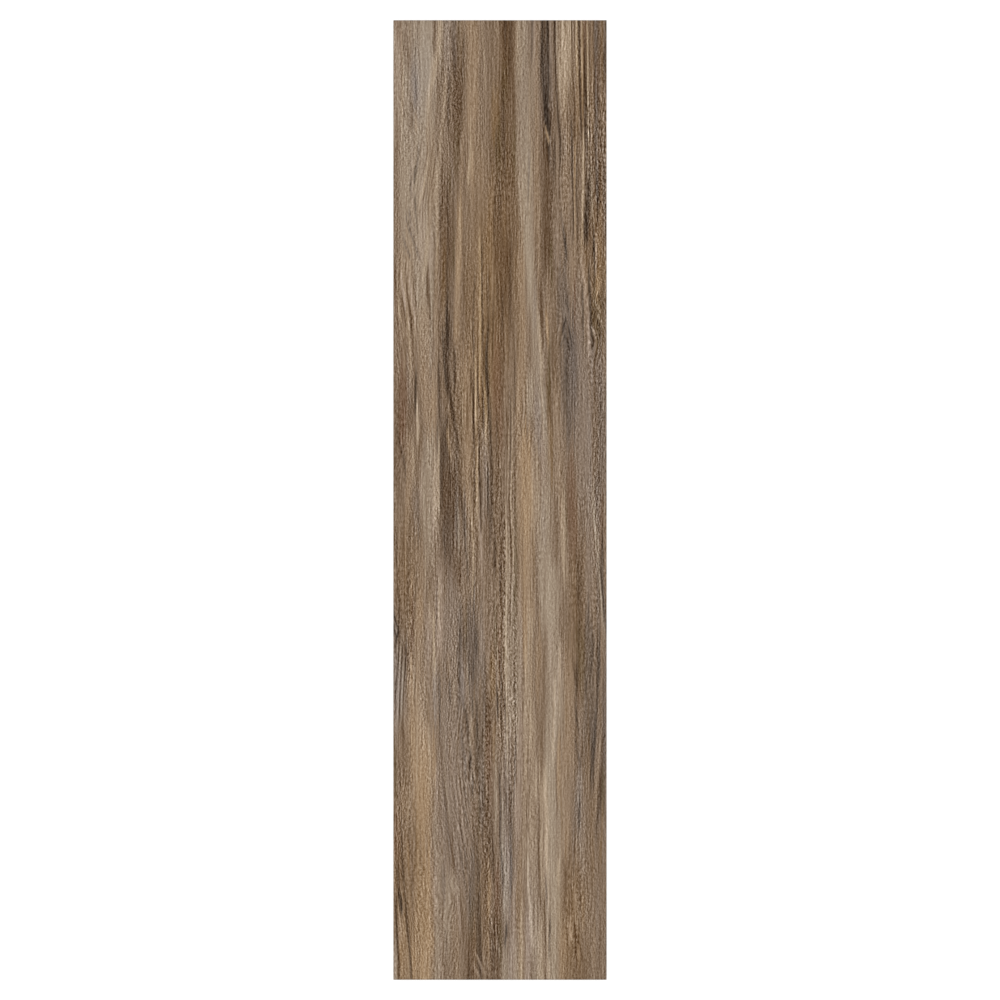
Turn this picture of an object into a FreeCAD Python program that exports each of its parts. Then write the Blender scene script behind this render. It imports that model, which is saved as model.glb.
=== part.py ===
"""Wood look porcelain plank tile: one dry-pressed, fired and rectified slab.

It lies flat with its printed face up. X runs across the plank, Y along it and Z up.
The origin is the middle of the back, on the plane of the rib crests that meet the bed.
Lengths are in millimetres and angles in degrees.
"""

import FreeCAD
import Part
import math
import os

# The slab
tile_length = 900.0
tile_width = 200.0
tile_thickness = 9.0  # from the rib crests on the back to the printed face
face_arris = 0.7  # 45 degree bevel ground round the printed face after rectifying
back_arris = 0.4  # 45 degree bevel round the back

# The keying lattice on the back: the press punch has pads between crossing grooves,
# so the pads leave shallow square pockets and the grooves leave ribs
pocket_size = 20.0  # mouth aimed at; the mouths are evened out to fill the lattice exactly
pocket_depth = 0.6  # from the rib crests to the pocket floor
pocket_draft = 40.0  # lean of the pocket walls from upright, so that the punch lifts out
rib_width = 3.0  # crest between neighbouring pockets
rim_width = 9.0  # plain band between the outer pockets and the tile's edges


def edges_at_height(solid, height):
    """The edges that lie wholly at one height, such as those round the face or the back."""
    tolerance = 1e-6
    return [
        edge
        for edge in solid.Edges
        if all(abs(vertex.Z - height) < tolerance for vertex in edge.Vertexes)
    ]


def rectified_slab():
    """The plain slab: square ground edges, with an arris round the face and one round the back."""
    corner = FreeCAD.Vector(-tile_width / 2, -tile_length / 2, 0)
    slab = Part.makeBox(tile_width, tile_length, tile_thickness, corner)
    slab = slab.makeChamfer(face_arris, edges_at_height(slab, tile_thickness))
    return slab.makeChamfer(back_arris, edges_at_height(slab, 0))


def lattice_row(tile_side):
    """Pockets along one side of the tile: their middles, and the mouth that fills the row exactly."""
    span = tile_side - 2 * rim_width
    count = max(1, round((span + rib_width) / (pocket_size + rib_width)))
    pitch = (span + rib_width) / count
    middles = [pitch * (index - (count - 1) / 2) for index in range(count)]
    return middles, pitch - rib_width


def punch_pad(mouth_x, mouth_y):
    """One pad of the punch: a pyramid cut short, from its mouth at the rib crests up to the pocket floor."""
    wall_run = pocket_depth * math.tan(math.radians(pocket_draft))
    mouth = (mouth_x / 2, mouth_y / 2)
    floor = (mouth_x / 2 - wall_run, mouth_y / 2 - wall_run)
    # A wedge narrows along its own Y axis, so it is made lying down and stood up on its mouth
    pad = Part.makeWedge(
        -mouth[0], 0, -mouth[1], -floor[1], -floor[0],
        mouth[0], pocket_depth, mouth[1], floor[1], floor[0],
    )
    pad.rotate(FreeCAD.Vector(0, 0, 0), FreeCAD.Vector(1, 0, 0), 90)
    return pad


def punch_pads():
    """Every pad of the punch, each where it presses its pocket into the back."""
    columns, mouth_x = lattice_row(tile_width)
    rows, mouth_y = lattice_row(tile_length)
    pad = punch_pad(mouth_x, mouth_y)
    return [pad.translated(FreeCAD.Vector(x, y, 0)) for x in columns for y in rows]


def plank_tile():
    """The finished tile: the slab with the lattice pressed into its back."""
    return rectified_slab().cut(Part.makeCompound(punch_pads())).Solids[0]


tile = plank_tile()
os.makedirs("parts", exist_ok=True)
tile.exportStep("parts/plank_tile.step")
print("valid", tile.isValid(), "volume in cm3", round(tile.Volume / 1000, 2), "faces", len(tile.Faces))
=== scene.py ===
"""Looks of a wood look porcelain plank tile: a pressed slab with an ink-jet wood print under a matt glaze."""

import math

import bpy
import numpy as np
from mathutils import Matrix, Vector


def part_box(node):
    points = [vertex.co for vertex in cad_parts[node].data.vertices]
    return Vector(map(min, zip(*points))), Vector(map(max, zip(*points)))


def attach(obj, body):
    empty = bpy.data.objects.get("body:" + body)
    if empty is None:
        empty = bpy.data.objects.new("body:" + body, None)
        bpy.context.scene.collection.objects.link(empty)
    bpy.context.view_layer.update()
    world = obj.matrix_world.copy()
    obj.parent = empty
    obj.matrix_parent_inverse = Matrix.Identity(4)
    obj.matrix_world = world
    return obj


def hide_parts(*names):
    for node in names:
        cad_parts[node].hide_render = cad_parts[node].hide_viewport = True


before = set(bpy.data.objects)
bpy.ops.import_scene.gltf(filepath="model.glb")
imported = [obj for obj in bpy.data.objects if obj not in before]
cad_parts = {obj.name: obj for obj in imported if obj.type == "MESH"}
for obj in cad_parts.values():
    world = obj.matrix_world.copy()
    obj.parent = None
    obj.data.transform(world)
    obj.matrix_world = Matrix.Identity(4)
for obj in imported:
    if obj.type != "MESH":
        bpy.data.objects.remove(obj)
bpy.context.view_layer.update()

# Sizes, in millimetres and degrees; the slab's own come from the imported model
METRES = 0.001  # one millimetre
_, slab_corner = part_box("plank_tile")
slab_half_width, slab_half_length, thickness = np.array(slab_corner) / METRES
face_arris = 0.7  # bevel ground round the printed face
back_arris = 0.4  # bevel round the back
pocket_size = 20.0  # mouth aimed at on the back, evened out to fill the lattice exactly
pocket_depth = 0.6
pocket_draft = 40.0  # lean of the pocket walls from upright
rib_width = 3.0  # crest between neighbouring pockets
rim_width = 9.0  # plain band round the lattice

# Grid of the printed face: fine across the grain, coarser along it
face_columns = 361
face_rows = 251
row_humps = [(358, 25), (175, 45), (-118, 16), (-420, 28)]  # where rows lie closer, and how far that reaches
relief_depth = 0.16  # from the face plane down to the deepest grain line

# Layers of noise in the grain: strength, width and length of one step in mm, and seed
slow_wander = (0.8, 9, 60, 1)
quick_wander = (0.4, 2.5, 22, 2)
long_fray = (0.6, 1.2, 34, 3)
short_fray = (0.4, 2.2, 18, 7)
fibre_ends = (1.0, 1.2, 150, 4)
relief_lines = (0.3, 2.2, 30, 5)
relief_hairs = (0.2, 1.4, 12, 6)
coarse_shift = (6, 4, 90, 8)
fine_shift = (1.5, 1.5, 45, 9)
hair_strips = (0.45, 6, 70, 10)
line_strips = (0.45, 6, 70, 11)

# Light and stage, in metres and watts
lamp_reach = 2.0  # sideways from the tile's middle
lamp_height = 1.8
lamp_size = (3.0, 1.6)
lamp_power = 33
fill_strength = 0.47  # of the surround, where it only lights the tile
floor_reach = 12.0
floor_gap = 0.0002  # left under the tile
floor_grey = 0.5  # linear
floor_glow = 0.7


def linear(ink):
    """An sRGB hex value as linear red, green and blue.

    A channel c from 0 to 1 becomes c / 12.92 up to 0.04045, and ((c + 0.055) / 1.055) ** 2.4 above that.
    """
    channels = np.array([int(ink[start:start + 2], 16) for start in (1, 3, 5)]) / 255
    return np.where(channels <= 0.04045, channels / 12.92, ((channels + 0.055) / 1.055) ** 2.4)


# Inks of the wood print, from the darkest vein to the palest sapwood
inks = {
    "ebony": linear("#413327"),
    "soot": linear("#4a3e35"),
    "bark": linear("#523f2f"),
    "umber": linear("#674f39"),
    "olive": linear("#68553a"),
    "russet": linear("#785c47"),
    "slate": linear("#6e6055"),
    "walnut": linear("#79624b"),
    "gold": linear("#866b4c"),
    "oak": linear("#87725e"),
    "mauve": linear("#8a7868"),
    "tan": linear("#988067"),
    "smoke": linear("#958577"),
    "honey": linear("#a4896b"),
    "dove": linear("#a3927e"),
    "pink": linear("#ac9887"),
    "ash": linear("#a79a8e"),
    "sand": linear("#b39e85"),
    "cream": linear("#c0ac95"),
}

# The figure: each streak's ink, half width in mm, strength and path, top end first, in mm from the middle
streaks = [
    # Top, left edge to the first dark band
    ("dove", 4, 0.65, [(-89, 415), (-89, 345)]),
    ("dove", 2.5, 0.75, [(-56, 465), (-56, 390)]),
    ("tan", 2.2, 0.8, [(-35.5, 465), (-35.5, 395)]),
    ("tan", 2.2, 0.75, [(-35.5, 370), (-35.5, 305)]),
    ("russet", 1.0, 0.75, [(-96.5, 462), (-96.5, 425)]),
    ("russet", 1.0, 0.7, [(-93, 455), (-92.5, 415), (-92.5, 385)]),
    ("umber", 0.8, 0.75, [(-89, 440), (-89.5, 420)]),
    ("umber", 0.8, 0.75, [(-86, 428), (-86, 408)]),
    ("umber", 0.8, 0.7, [(-90, 380), (-89.5, 360)]),
    ("mauve", 5, 0.6, [(-86, 470), (-86, 350)]),
    ("slate", 0.9, 0.6, [(-79.5, 442), (-79, 420), (-80.5, 405)]),
    ("slate", 1.8, 0.65, [(-81, 402), (-79.5, 385), (-80.5, 372)]),
    ("dove", 21, 0.6, [(-82, 490), (-80, 330)]),
    ("pink", 4, 0.5, [(-97, 465), (-97, 350)]),
    ("dove", 8, 0.6, [(-73, 440), (-71, 378)]),
    ("walnut", 0.9, 0.6, [(-94.5, 465), (-94.5, 420)]),
    ("sand", 0.8, 0.6, [(-92.5, 440), (-91, 400), (-91.5, 355)]),
    ("oak", 3, 0.7, [(-88, 470), (-87, 415)]),
    ("sand", 0.7, 0.5, [(-84.5, 455), (-84.5, 425)]),
    ("walnut", 1.0, 0.5, [(-83.5, 430), (-83, 400)]),
    ("mauve", 1.2, 0.7, [(-79, 460), (-76.5, 420), (-75, 400)]),
    ("smoke", 4.5, 0.7, [(-80, 415), (-78, 360)]),
    ("umber", 1.2, 0.85, [(-82.5, 372), (-83.5, 345)]),
    ("honey", 1.2, 0.6, [(-80.5, 370), (-79, 345)]),
    ("dove", 5, 0.7, [(-70, 480), (-67, 410), (-66, 390)]),
    ("cream", 0.9, 0.7, [(-63, 412), (-65, 398), (-68, 378)]),
    ("umber", 1.0, 0.8, [(-61.5, 465), (-61, 440), (-62, 412)]),
    ("sand", 2.0, 0.8, [(-56.5, 480), (-57, 440), (-58.5, 418), (-62, 398), (-66, 380), (-69, 362)]),
    ("smoke", 2, 0.6, [(-51, 470), (-50, 430)]),
    ("honey", 3, 0.45, [(-64, 400), (-67, 370), (-68, 325)]),
    ("umber", 1.3, 0.7, [(-54, 432), (-54.5, 405), (-57, 382), (-59, 360)]),
    ("sand", 1.4, 0.6, [(-51, 400), (-53, 365), (-56, 335), (-58, 305)]),
    ("smoke", 4, 0.75, [(-50, 470), (-50, 400)]),
    ("slate", 2.5, 0.75, [(-43.5, 470), (-42.5, 400)]),
    ("olive", 2, 0.6, [(-39, 470), (-38, 415)]),
    ("bark", 1.2, 0.8, [(-34.5, 445), (-35.5, 395)]),
    ("umber", 5.5, 0.75, [(-39, 425), (-39, 385), (-41, 335)]),
    ("bark", 1.1, 0.8, [(-46.5, 405), (-48, 380), (-49, 345)]),
    ("bark", 1.2, 0.6, [(-36, 380), (-37, 340)]),
    # Top, tan field and the umber band
    ("mauve", 5, 0.55, [(20, 410), (20, 300)]),
    ("tan", 6, 0.8, [(-26, 490), (-26, 330)]),
    ("walnut", 0.9, 0.6, [(-31, 430), (-31, 390)]),
    ("walnut", 0.9, 0.6, [(-18.5, 455), (-18.5, 415)]),
    ("sand", 0.9, 0.6, [(-17, 440), (-14, 400), (-13.5, 365)]),
    ("walnut", 4, 0.5, [(-8, 490), (-8, 380)]),
    ("sand", 0.8, 0.5, [(-3, 460), (-2.5, 425)]),
    ("umber", 7.5, 0.8, [(6, 490), (7, 420), (5, 370)]),
    ("bark", 1.8, 0.8, [(4.5, 480), (4.5, 428)]),
    ("bark", 2.0, 0.7, [(9.5, 445), (8, 390)]),
    ("olive", 4, 0.6, [(4, 410), (4, 370)]),
    ("gold", 3.5, 0.8, [(-5, 390), (-4, 335)]),
    ("bark", 2.2, 0.7, [(3, 380), (3.5, 340), (4.5, 308)]),
    ("olive", 2.5, 0.8, [(-2, 352), (-1, 295)]),
    ("umber", 1.8, 0.7, [(13.5, 400), (14, 355)]),
    ("olive", 2.2, 0.8, [(14, 360), (13.5, 310)]),
    ("umber", 3, 0.4, [(13, 410), (13, 340)]),
    ("tan", 2, 0.5, [(16, 470), (16, 420)]),
    ("dove", 6, 0.55, [(21.5, 490), (21, 330)]),
    ("mauve", 2.2, 0.6, [(26, 470), (26, 350)]),
    ("slate", 1.5, 0.8, [(30, 470), (30, 420)]),
    ("pink", 1.0, 0.7, [(32.5, 455), (32.5, 395)]),
    ("olive", 1.0, 0.5, [(28.5, 415), (28.5, 375)]),
    ("sand", 0.9, 0.7, [(27.5, 400), (27, 335)]),
    ("tan", 3, 0.7, [(33.5, 425), (34, 330)]),
    ("dove", 3, 0.5, [(30, 420), (30, 360)]),
    # Top, the ebony vein and the crisp lines to the right edge
    ("umber", 2.0, 0.75, [(48.8, 405), (50.3, 345)]),
    ("bark", 1.8, 0.85, [(82.3, 385), (82.6, 335)]),
    ("umber", 0.8, 0.85, [(69.7, 390), (69.8, 335)]),
    ("sand", 0.8, 0.8, [(65, 470), (65.3, 400)]),
    ("umber", 0.8, 0.85, [(87.6, 460), (88.2, 400), (88.5, 340)]),
    ("tan", 0.9, 0.9, [(77.3, 440), (77.5, 345)]),
    ("umber", 0.7, 0.8, [(63.8, 395), (64, 345)]),
    ("umber", 2.6, 0.6, [(38.5, 345), (38.5, 290)]),
    ("umber", 12, 0.45, [(88, 460), (87, 225)]),
    ("bark", 3.8, 0.85, [(41.5, 490), (41.8, 420), (42.3, 390), (44, 360), (46, 325)]),
    ("umber", 3, 0.6, [(40, 400), (41, 330)]),
    ("ebony", 1.5, 0.9, [(39.3, 485), (39.8, 420), (41, 385), (43.5, 352), (46, 325)]),
    ("ebony", 1.1, 0.9, [(44.3, 480), (44.5, 420), (45.5, 375)]),
    ("slate", 0.8, 0.6, [(42.2, 425), (42.6, 392)]),
    ("ebony", 1.4, 0.8, [(43.5, 385), (45, 362), (47, 340)]),
    ("honey", 0.8, 0.9, [(41.8, 353), (43.5, 344), (45.5, 336)]),
    ("honey", 0.7, 0.8, [(44, 346), (46.3, 336)]),
    ("mauve", 1.6, 0.8, [(47.3, 470), (47.5, 400), (49.5, 360)]),
    ("umber", 1.6, 0.6, [(52.5, 420), (53, 370)]),
    ("bark", 1.1, 0.9, [(51, 480), (52, 415), (52.5, 385), (54, 360), (56, 335), (56, 300)]),
    ("dove", 1.0, 0.5, [(54, 460), (55, 395)]),
    ("sand", 5.5, 0.6, [(60, 490), (60, 370)]),
    ("cream", 1.1, 0.6, [(60, 448), (60.5, 410)]),
    ("tan", 5, 0.5, [(62, 390), (62, 330)]),
    ("walnut", 0.9, 0.8, [(67, 470), (67.5, 380)]),
    ("bark", 0.8, 0.9, [(67, 375), (67.3, 340), (68, 310), (69, 255)]),
    ("sand", 1.0, 0.8, [(72.5, 470), (73, 400)]),
    ("gold", 1.8, 0.6, [(71.5, 395), (72, 335)]),
    ("bark", 0.9, 0.9, [(74.5, 470), (75.5, 400), (76, 330)]),
    ("sand", 0.8, 0.6, [(77.5, 465), (77, 400)]),
    ("bark", 2.2, 0.8, [(80, 392), (80.5, 338)]),
    ("russet", 1.6, 0.9, [(79, 475), (79.5, 405)]),
    ("bark", 1.4, 0.9, [(79.5, 418), (80, 380), (81, 345), (82, 310)]),
    ("sand", 0.7, 0.8, [(82, 465), (82.5, 390), (83.5, 320)]),
    ("umber", 0.8, 0.8, [(83.5, 470), (84, 390)]),
    ("tan", 1.5, 0.9, [(86, 470), (87, 335)]),
    ("slate", 2.2, 0.85, [(90, 470), (90.5, 310)]),
    ("russet", 1.2, 0.6, [(91.5, 415), (91.5, 385)]),
    ("umber", 1.0, 0.8, [(94, 445), (94, 395)]),
    ("gold", 0.9, 0.7, [(95.5, 450), (96, 340)]),
    ("soot", 1.4, 0.8, [(98.5, 470), (98, 405)]),
    # Upper part, left edge to the first dark band
    ("slate", 0.8, 0.85, [(-86, 275), (-83.5, 258), (-80, 245)]),
    ("sand", 0.7, 0.8, [(-67, 320), (-71, 298), (-76, 276)]),
    ("walnut", 0.8, 0.85, [(-66, 336), (-70, 318), (-74, 300)]),
    ("russet", 1.6, 0.4, [(-95, 345), (-95.5, 290), (-96, 235)]),
    ("dove", 9, 0.6, [(-86, 340), (-86, 170)]),
    ("dove", 11, 0.6, [(-70, 350), (-71, 150)]),
    ("mauve", 1.0, 0.7, [(-82, 345), (-83.5, 310), (-83, 270)]),
    ("slate", 1.0, 0.8, [(-76, 338), (-77, 318), (-78.5, 305)]),
    ("soot", 1.1, 0.85, [(-79.3, 314), (-80.2, 298)]),
    ("slate", 0.8, 0.8, [(-83.5, 297), (-82.3, 280)]),
    ("soot", 0.9, 0.8, [(-80, 288), (-79, 266)]),
    ("pink", 1.0, 0.6, [(-80.5, 335), (-82, 300), (-81.5, 255)]),
    ("slate", 0.8, 0.7, [(-78.5, 266), (-78, 250)]),
    ("walnut", 0.8, 0.95, [(-62, 335), (-66, 312), (-71, 290), (-75, 272)]),
    ("walnut", 0.8, 0.9, [(-64, 310), (-68, 290), (-73, 266)]),
    ("walnut", 0.8, 0.9, [(-60, 318), (-63, 300), (-68, 275)]),
    ("sand", 0.8, 0.8, [(-65, 332), (-70, 305), (-75, 284)]),
    ("slate", 0.8, 0.95, [(-88, 262), (-84, 250), (-80, 238), (-76, 226)]),
    ("slate", 0.8, 0.9, [(-92, 250), (-88, 236), (-83, 224)]),
    ("pink", 0.8, 0.6, [(-86, 268), (-81, 248), (-77, 234)]),
    ("pink", 3, 0.6, [(-72, 320), (-73, 270), (-75, 220)]),
    ("tan", 4.5, 0.6, [(-65, 345), (-64.5, 260)]),
    ("sand", 1.8, 0.7, [(-67, 270), (-68.5, 250), (-70.5, 220), (-73, 200)]),
    ("pink", 2.2, 0.7, [(-65, 255), (-65, 212)]),
    ("sand", 1.2, 0.7, [(-58.5, 315), (-59.5, 280), (-59.5, 215)]),
    ("umber", 4, 0.4, [(-43, 340), (-44, 295)]),
    ("umber", 6.3, 0.55, [(-50.3, 300), (-50.8, 205)]),
    ("bark", 0.8, 0.6, [(-56.3, 300), (-56.3, 235)]),
    ("umber", 3, 0.35, [(-39, 355), (-40.5, 290)]),
    ("umber", 1.4, 0.5, [(-55, 300), (-55, 275), (-54, 230)]),
    ("bark", 0.8, 0.7, [(-50, 305), (-49, 275), (-49, 230)]),
    ("mauve", 1.0, 0.8, [(-46, 325), (-44.5, 300), (-44, 280)]),
    ("olive", 1.3, 0.8, [(-47.5, 310), (-47, 280)]),
    ("umber", 1.4, 0.6, [(-42.5, 305), (-44, 270), (-46, 220)]),
    ("olive", 1.4, 0.7, [(-43.5, 260), (-44, 215)]),
    ("olive", 2.2, 0.6, [(-40, 352), (-41, 320), (-42, 300)]),
    # Upper part, tan field and the umber band
    ("walnut", 7, 0.4, [(-16, 270), (-16, 220)]),
    ("honey", 2.8, 0.8, [(-37, 290), (-38, 260), (-39, 200)]),
    ("sand", 1.2, 0.6, [(-37, 280), (-37.5, 260), (-38.5, 222)]),
    ("umber", 0.9, 0.7, [(-33, 315), (-34, 280), (-34, 245), (-36, 212)]),
    ("walnut", 2, 0.5, [(-31, 350), (-31.5, 300)]),
    ("sand", 1.4, 0.85, [(-26.5, 360), (-27, 325), (-29, 300), (-28.5, 275)]),
    ("walnut", 0.9, 0.7, [(-25, 355), (-25, 330)]),
    ("tan", 8, 0.3, [(-22, 340), (-23, 285)]),
    ("oak", 3, 0.6, [(-14, 355), (-14, 290)]),
    ("umber", 12, 0.55, [(3, 380), (3, 290), (3, 200)]),
    ("bark", 0.9, 0.7, [(-3, 352), (-3, 325)]),
    ("walnut", 1.6, 0.7, [(6.5, 350), (7, 300)]),
    ("gold", 3, 0.6, [(-8, 315), (-9, 270), (-10, 225)]),
    ("bark", 0.9, 0.8, [(-1, 300), (-1, 250)]),
    ("bark", 0.8, 0.6, [(-5, 290), (-5, 240)]),
    ("gold", 1.6, 0.5, [(4, 290), (4, 240)]),
    ("bark", 1.6, 0.65, [(10, 265), (10, 225), (10, 180)]),
    ("umber", 3, 0.4, [(15, 330), (15, 270), (15, 210)]),
    ("tan", 2, 0.5, [(19, 260), (20, 205)]),
    # Upper part, grey band to the right edge
    ("walnut", 3, 0.7, [(75, 262), (75.5, 225)]),
    ("dove", 6, 0.72, [(23, 345), (23, 300), (25.5, 260), (28, 205)]),
    ("pink", 1.2, 0.5, [(19, 345), (19, 300), (20, 270)]),
    ("slate", 1.0, 0.75, [(28, 350), (27, 325), (26, 300), (25.5, 275)]),
    ("sand", 0.9, 0.7, [(29, 355), (28.5, 310), (27.5, 270)]),
    ("tan", 3.2, 0.8, [(34, 350), (34, 290), (35, 205)]),
    ("umber", 0.8, 0.6, [(33, 255), (34, 205)]),
    ("umber", 6, 0.75, [(43.5, 355), (44, 300), (44, 222)]),
    ("umber", 3.2, 0.7, [(44, 335), (44, 312), (44, 290)]),
    ("mauve", 0.8, 0.8, [(47.5, 340), (47.5, 300)]),
    ("bark", 1.2, 0.8, [(50.5, 335), (50, 285)]),
    ("oak", 1.8, 0.7, [(53, 350), (53, 300)]),
    ("mauve", 2.5, 0.7, [(60, 350), (60, 320)]),
    ("tan", 4, 0.5, [(61, 330), (62, 260)]),
    ("soot", 0.9, 0.9, [(57.6, 268), (59, 255), (60.5, 240), (62, 225)]),
    ("pink", 1.8, 0.4, [(54, 285), (54, 225)]),
    ("bark", 0.9, 0.8, [(72, 325), (72, 290), (73, 250)]),
    ("honey", 0.9, 0.8, [(70.5, 350), (70.5, 245)]),
    ("sand", 1.4, 0.85, [(78, 340), (78.5, 300), (78, 275)]),
    ("sand", 0.8, 0.85, [(78, 285), (77.5, 262), (76, 232)]),
    ("bark", 4, 0.35, [(85, 310), (84, 250)]),
    ("ebony", 2.2, 0.9, [(84, 320), (83, 285), (81.5, 255)]),
    ("ebony", 1.8, 0.9, [(80.5, 272), (80, 240)]),
    ("dove", 0.9, 0.8, [(85.5, 330), (86.5, 265)]),
    ("soot", 1.3, 0.8, [(92, 310), (92.5, 260)]),
    ("walnut", 2.6, 0.7, [(89, 300), (90, 230)]),
    ("pink", 1.0, 0.9, [(91, 260), (90, 240), (89, 215)]),
    ("umber", 0.9, 0.8, [(94, 320), (94.5, 280)]),
    ("gold", 1.5, 0.7, [(95, 300), (94, 220)]),
    ("slate", 1.5, 0.7, [(98.5, 330), (98.5, 250)]),
    # Above the middle, left edge to the ebony vein
    ("bark", 1.5, 0.8, [(-47.6, 178), (-47.6, 128)]),
    ("walnut", 3, 0.55, [(-36, 185), (-36, 120)]),
    ("umber", 2.5, 0.55, [(-44.5, 285), (-44.5, 170)]),
    ("umber", 0.8, 0.85, [(-92.5, 192), (-89.5, 172), (-86.5, 152)]),
    ("pink", 0.8, 0.8, [(-86, 215), (-83.5, 190), (-80, 165)]),
    ("umber", 0.8, 0.8, [(-83, 212), (-80.5, 192), (-78, 172)]),
    ("umber", 0.9, 0.95, [(-98.5, 212), (-96, 185), (-93.5, 165), (-90.5, 148)]),
    ("umber", 0.8, 0.9, [(-88, 200), (-85.5, 180), (-83, 162), (-81.5, 145)]),
    ("pink", 0.9, 0.95, [(-93, 214), (-91, 195), (-88.5, 174)]),
    ("sand", 0.8, 0.9, [(-96.5, 198), (-94.5, 175), (-91, 154)]),
    ("tan", 8, 0.5, [(-90, 250), (-86, 120)]),
    ("russet", 1.0, 0.7, [(-99, 210), (-97, 180), (-95, 155)]),
    ("sand", 1.3, 0.7, [(-92.5, 220), (-90, 190), (-86.5, 160), (-84, 140), (-82, 110)]),
    ("umber", 1.0, 0.7, [(-90, 230), (-87, 190), (-84.5, 165), (-82, 140), (-80, 108)]),
    ("umber", 1.0, 0.6, [(-95, 200), (-92, 170), (-88, 140), (-86, 120)]),
    ("mauve", 2.0, 0.6, [(-80, 240), (-80, 180)]),
    ("umber", 1.9, 0.9, [(-67.5, 222), (-67, 200), (-65.5, 172)]),
    ("dove", 0.9, 0.7, [(-64.5, 222), (-64, 160)]),
    ("umber", 0.9, 0.7, [(-62, 250), (-62, 175)]),
    ("tan", 6, 0.5, [(-71, 190), (-70, 110)]),
    ("tan", 2.0, 0.8, [(-59.5, 240), (-60, 100)]),
    ("umber", 1.0, 0.75, [(-56, 250), (-56, 180), (-55.5, 130)]),
    ("walnut", 1.8, 0.85, [(-53, 250), (-53, 180)]),
    ("bark", 1.4, 0.8, [(-49, 235), (-49.5, 210), (-49.5, 165)]),
    ("bark", 3.0, 0.95, [(-49.5, 172), (-50.2, 150), (-49.8, 130), (-48, 98)]),
    ("ebony", 1.1, 0.85, [(-48.6, 192), (-49, 165), (-48.6, 140)]),
    ("ebony", 1.2, 0.85, [(-53.2, 162), (-52.5, 130), (-50, 104)]),
    ("bark", 1.5, 0.7, [(-45.5, 190), (-45.5, 125)]),
    ("bark", 1.2, 0.9, [(-42, 152), (-42, 125), (-43, 100)]),
    ("mauve", 1.0, 0.8, [(-45, 130), (-44, 106)]),
    # Above the middle, tan field and the umber band
    ("walnut", 4, 0.65, [(-30, 222), (-30.5, 150)]),
    ("walnut", 3, 0.65, [(15.5, 222), (16, 150)]),
    ("walnut", 10, 0.4, [(-8, 165), (-10, 78)]),
    ("walnut", 3, 0.75, [(-29.5, 118), (-29.5, 72)]),
    ("umber", 3, 0.7, [(2.5, 150), (2.5, 110)]),
    ("honey", 3.4, 0.75, [(-39.5, 240), (-40, 190), (-40, 150)]),
    ("tan", 6, 0.5, [(-33, 150), (-33, 60)]),
    ("walnut", 3, 0.7, [(-32, 235), (-31, 178)]),
    ("umber", 0.9, 0.7, [(-35, 215), (-34.5, 165), (-35.5, 130)]),
    ("bark", 0.9, 0.75, [(-24, 205), (-25, 160), (-24, 120), (-24.5, 100)]),
    ("sand", 1.1, 0.8, [(-19, 250), (-19.5, 190), (-18, 150), (-18.5, 125)]),
    ("bark", 1.1, 0.85, [(-17.5, 250), (-17.5, 190), (-16.5, 150), (-16, 118)]),
    ("bark", 1.9, 0.75, [(-12, 215), (-11, 165), (-11, 130)]),
    ("soot", 1.9, 0.9, [(-12, 155), (-12, 120), (-10, 92)]),
    ("bark", 0.9, 0.7, [(-6.5, 195), (-6.5, 130)]),
    ("umber", 9, 0.6, [(3, 230), (3, 140)]),
    ("bark", 1.5, 0.8, [(2, 200), (2.5, 160)]),
    ("bark", 1.0, 0.7, [(-3, 210), (-3, 180)]),
    ("umber", 1.8, 0.6, [(9, 240), (9, 205)]),
    ("gold", 1.6, 0.5, [(-9, 235), (-9, 190)]),
    ("gold", 1.4, 0.5, [(6.5, 170), (7, 120)]),
    ("umber", 0.9, 0.7, [(12, 170), (13.5, 130), (13, 100)]),
    ("tan", 5, 0.85, [(18, 250), (19, 190), (21, 150), (20.5, 100)]),
    # Above the middle, grey band to the right edge
    ("umber", 3, 0.6, [(51.5, 160), (52, 108)]),
    ("slate", 14, 0.38, [(68, 160), (68, 78)]),
    ("umber", 4, 0.45, [(89, 150), (89, 75)]),
    ("dove", 2.2, 0.8, [(41.8, 112), (43.3, 48)]),
    ("bark", 0.9, 0.9, [(84.5, 192), (87, 188), (90, 182)]),
    ("bark", 0.9, 0.9, [(86, 182), (89.5, 177), (93, 171)]),
    ("bark", 0.9, 0.85, [(88, 173), (92, 166), (95.5, 159)]),
    ("bark", 0.9, 0.8, [(91, 196), (94, 189), (97, 182)]),
    ("bark", 0.8, 0.8, [(90, 162), (94, 154), (98, 147)]),
    ("honey", 0.8, 0.9, [(95.5, 207), (93, 200), (91, 193)]),
    ("sand", 0.8, 0.8, [(88, 186), (91, 181), (94.5, 175)]),
    ("sand", 0.8, 0.8, [(90, 177), (93, 171), (97, 164)]),
    ("pink", 0.9, 0.8, [(86.3, 163), (88, 159), (90, 154)]),
    ("smoke", 2.2, 0.6, [(61, 184), (61, 170)]),
    ("dove", 4.5, 0.65, [(28.5, 250), (30, 200), (33.5, 165), (34.5, 130), (34.5, 90)]),
    ("smoke", 2.0, 0.7, [(33, 195), (33, 150)]),
    ("sand", 1.5, 0.8, [(36.5, 178), (38, 150), (39.3, 130), (40, 100)]),
    ("umber", 0.8, 0.7, [(34, 245), (34.5, 190)]),
    ("tan", 3.0, 0.5, [(45, 225), (45, 160)]),
    ("umber", 1.4, 0.9, [(37.8, 208), (38.6, 180), (40.5, 155)]),
    ("honey", 1.0, 0.95, [(42.3, 182), (43.5, 165), (44.8, 148)]),
    ("olive", 1.3, 0.85, [(47.5, 245), (48, 200)]),
    ("olive", 1.8, 0.9, [(46, 158), (46, 95)]),
    ("walnut", 3, 0.7, [(51, 205), (51, 100)]),
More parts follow.
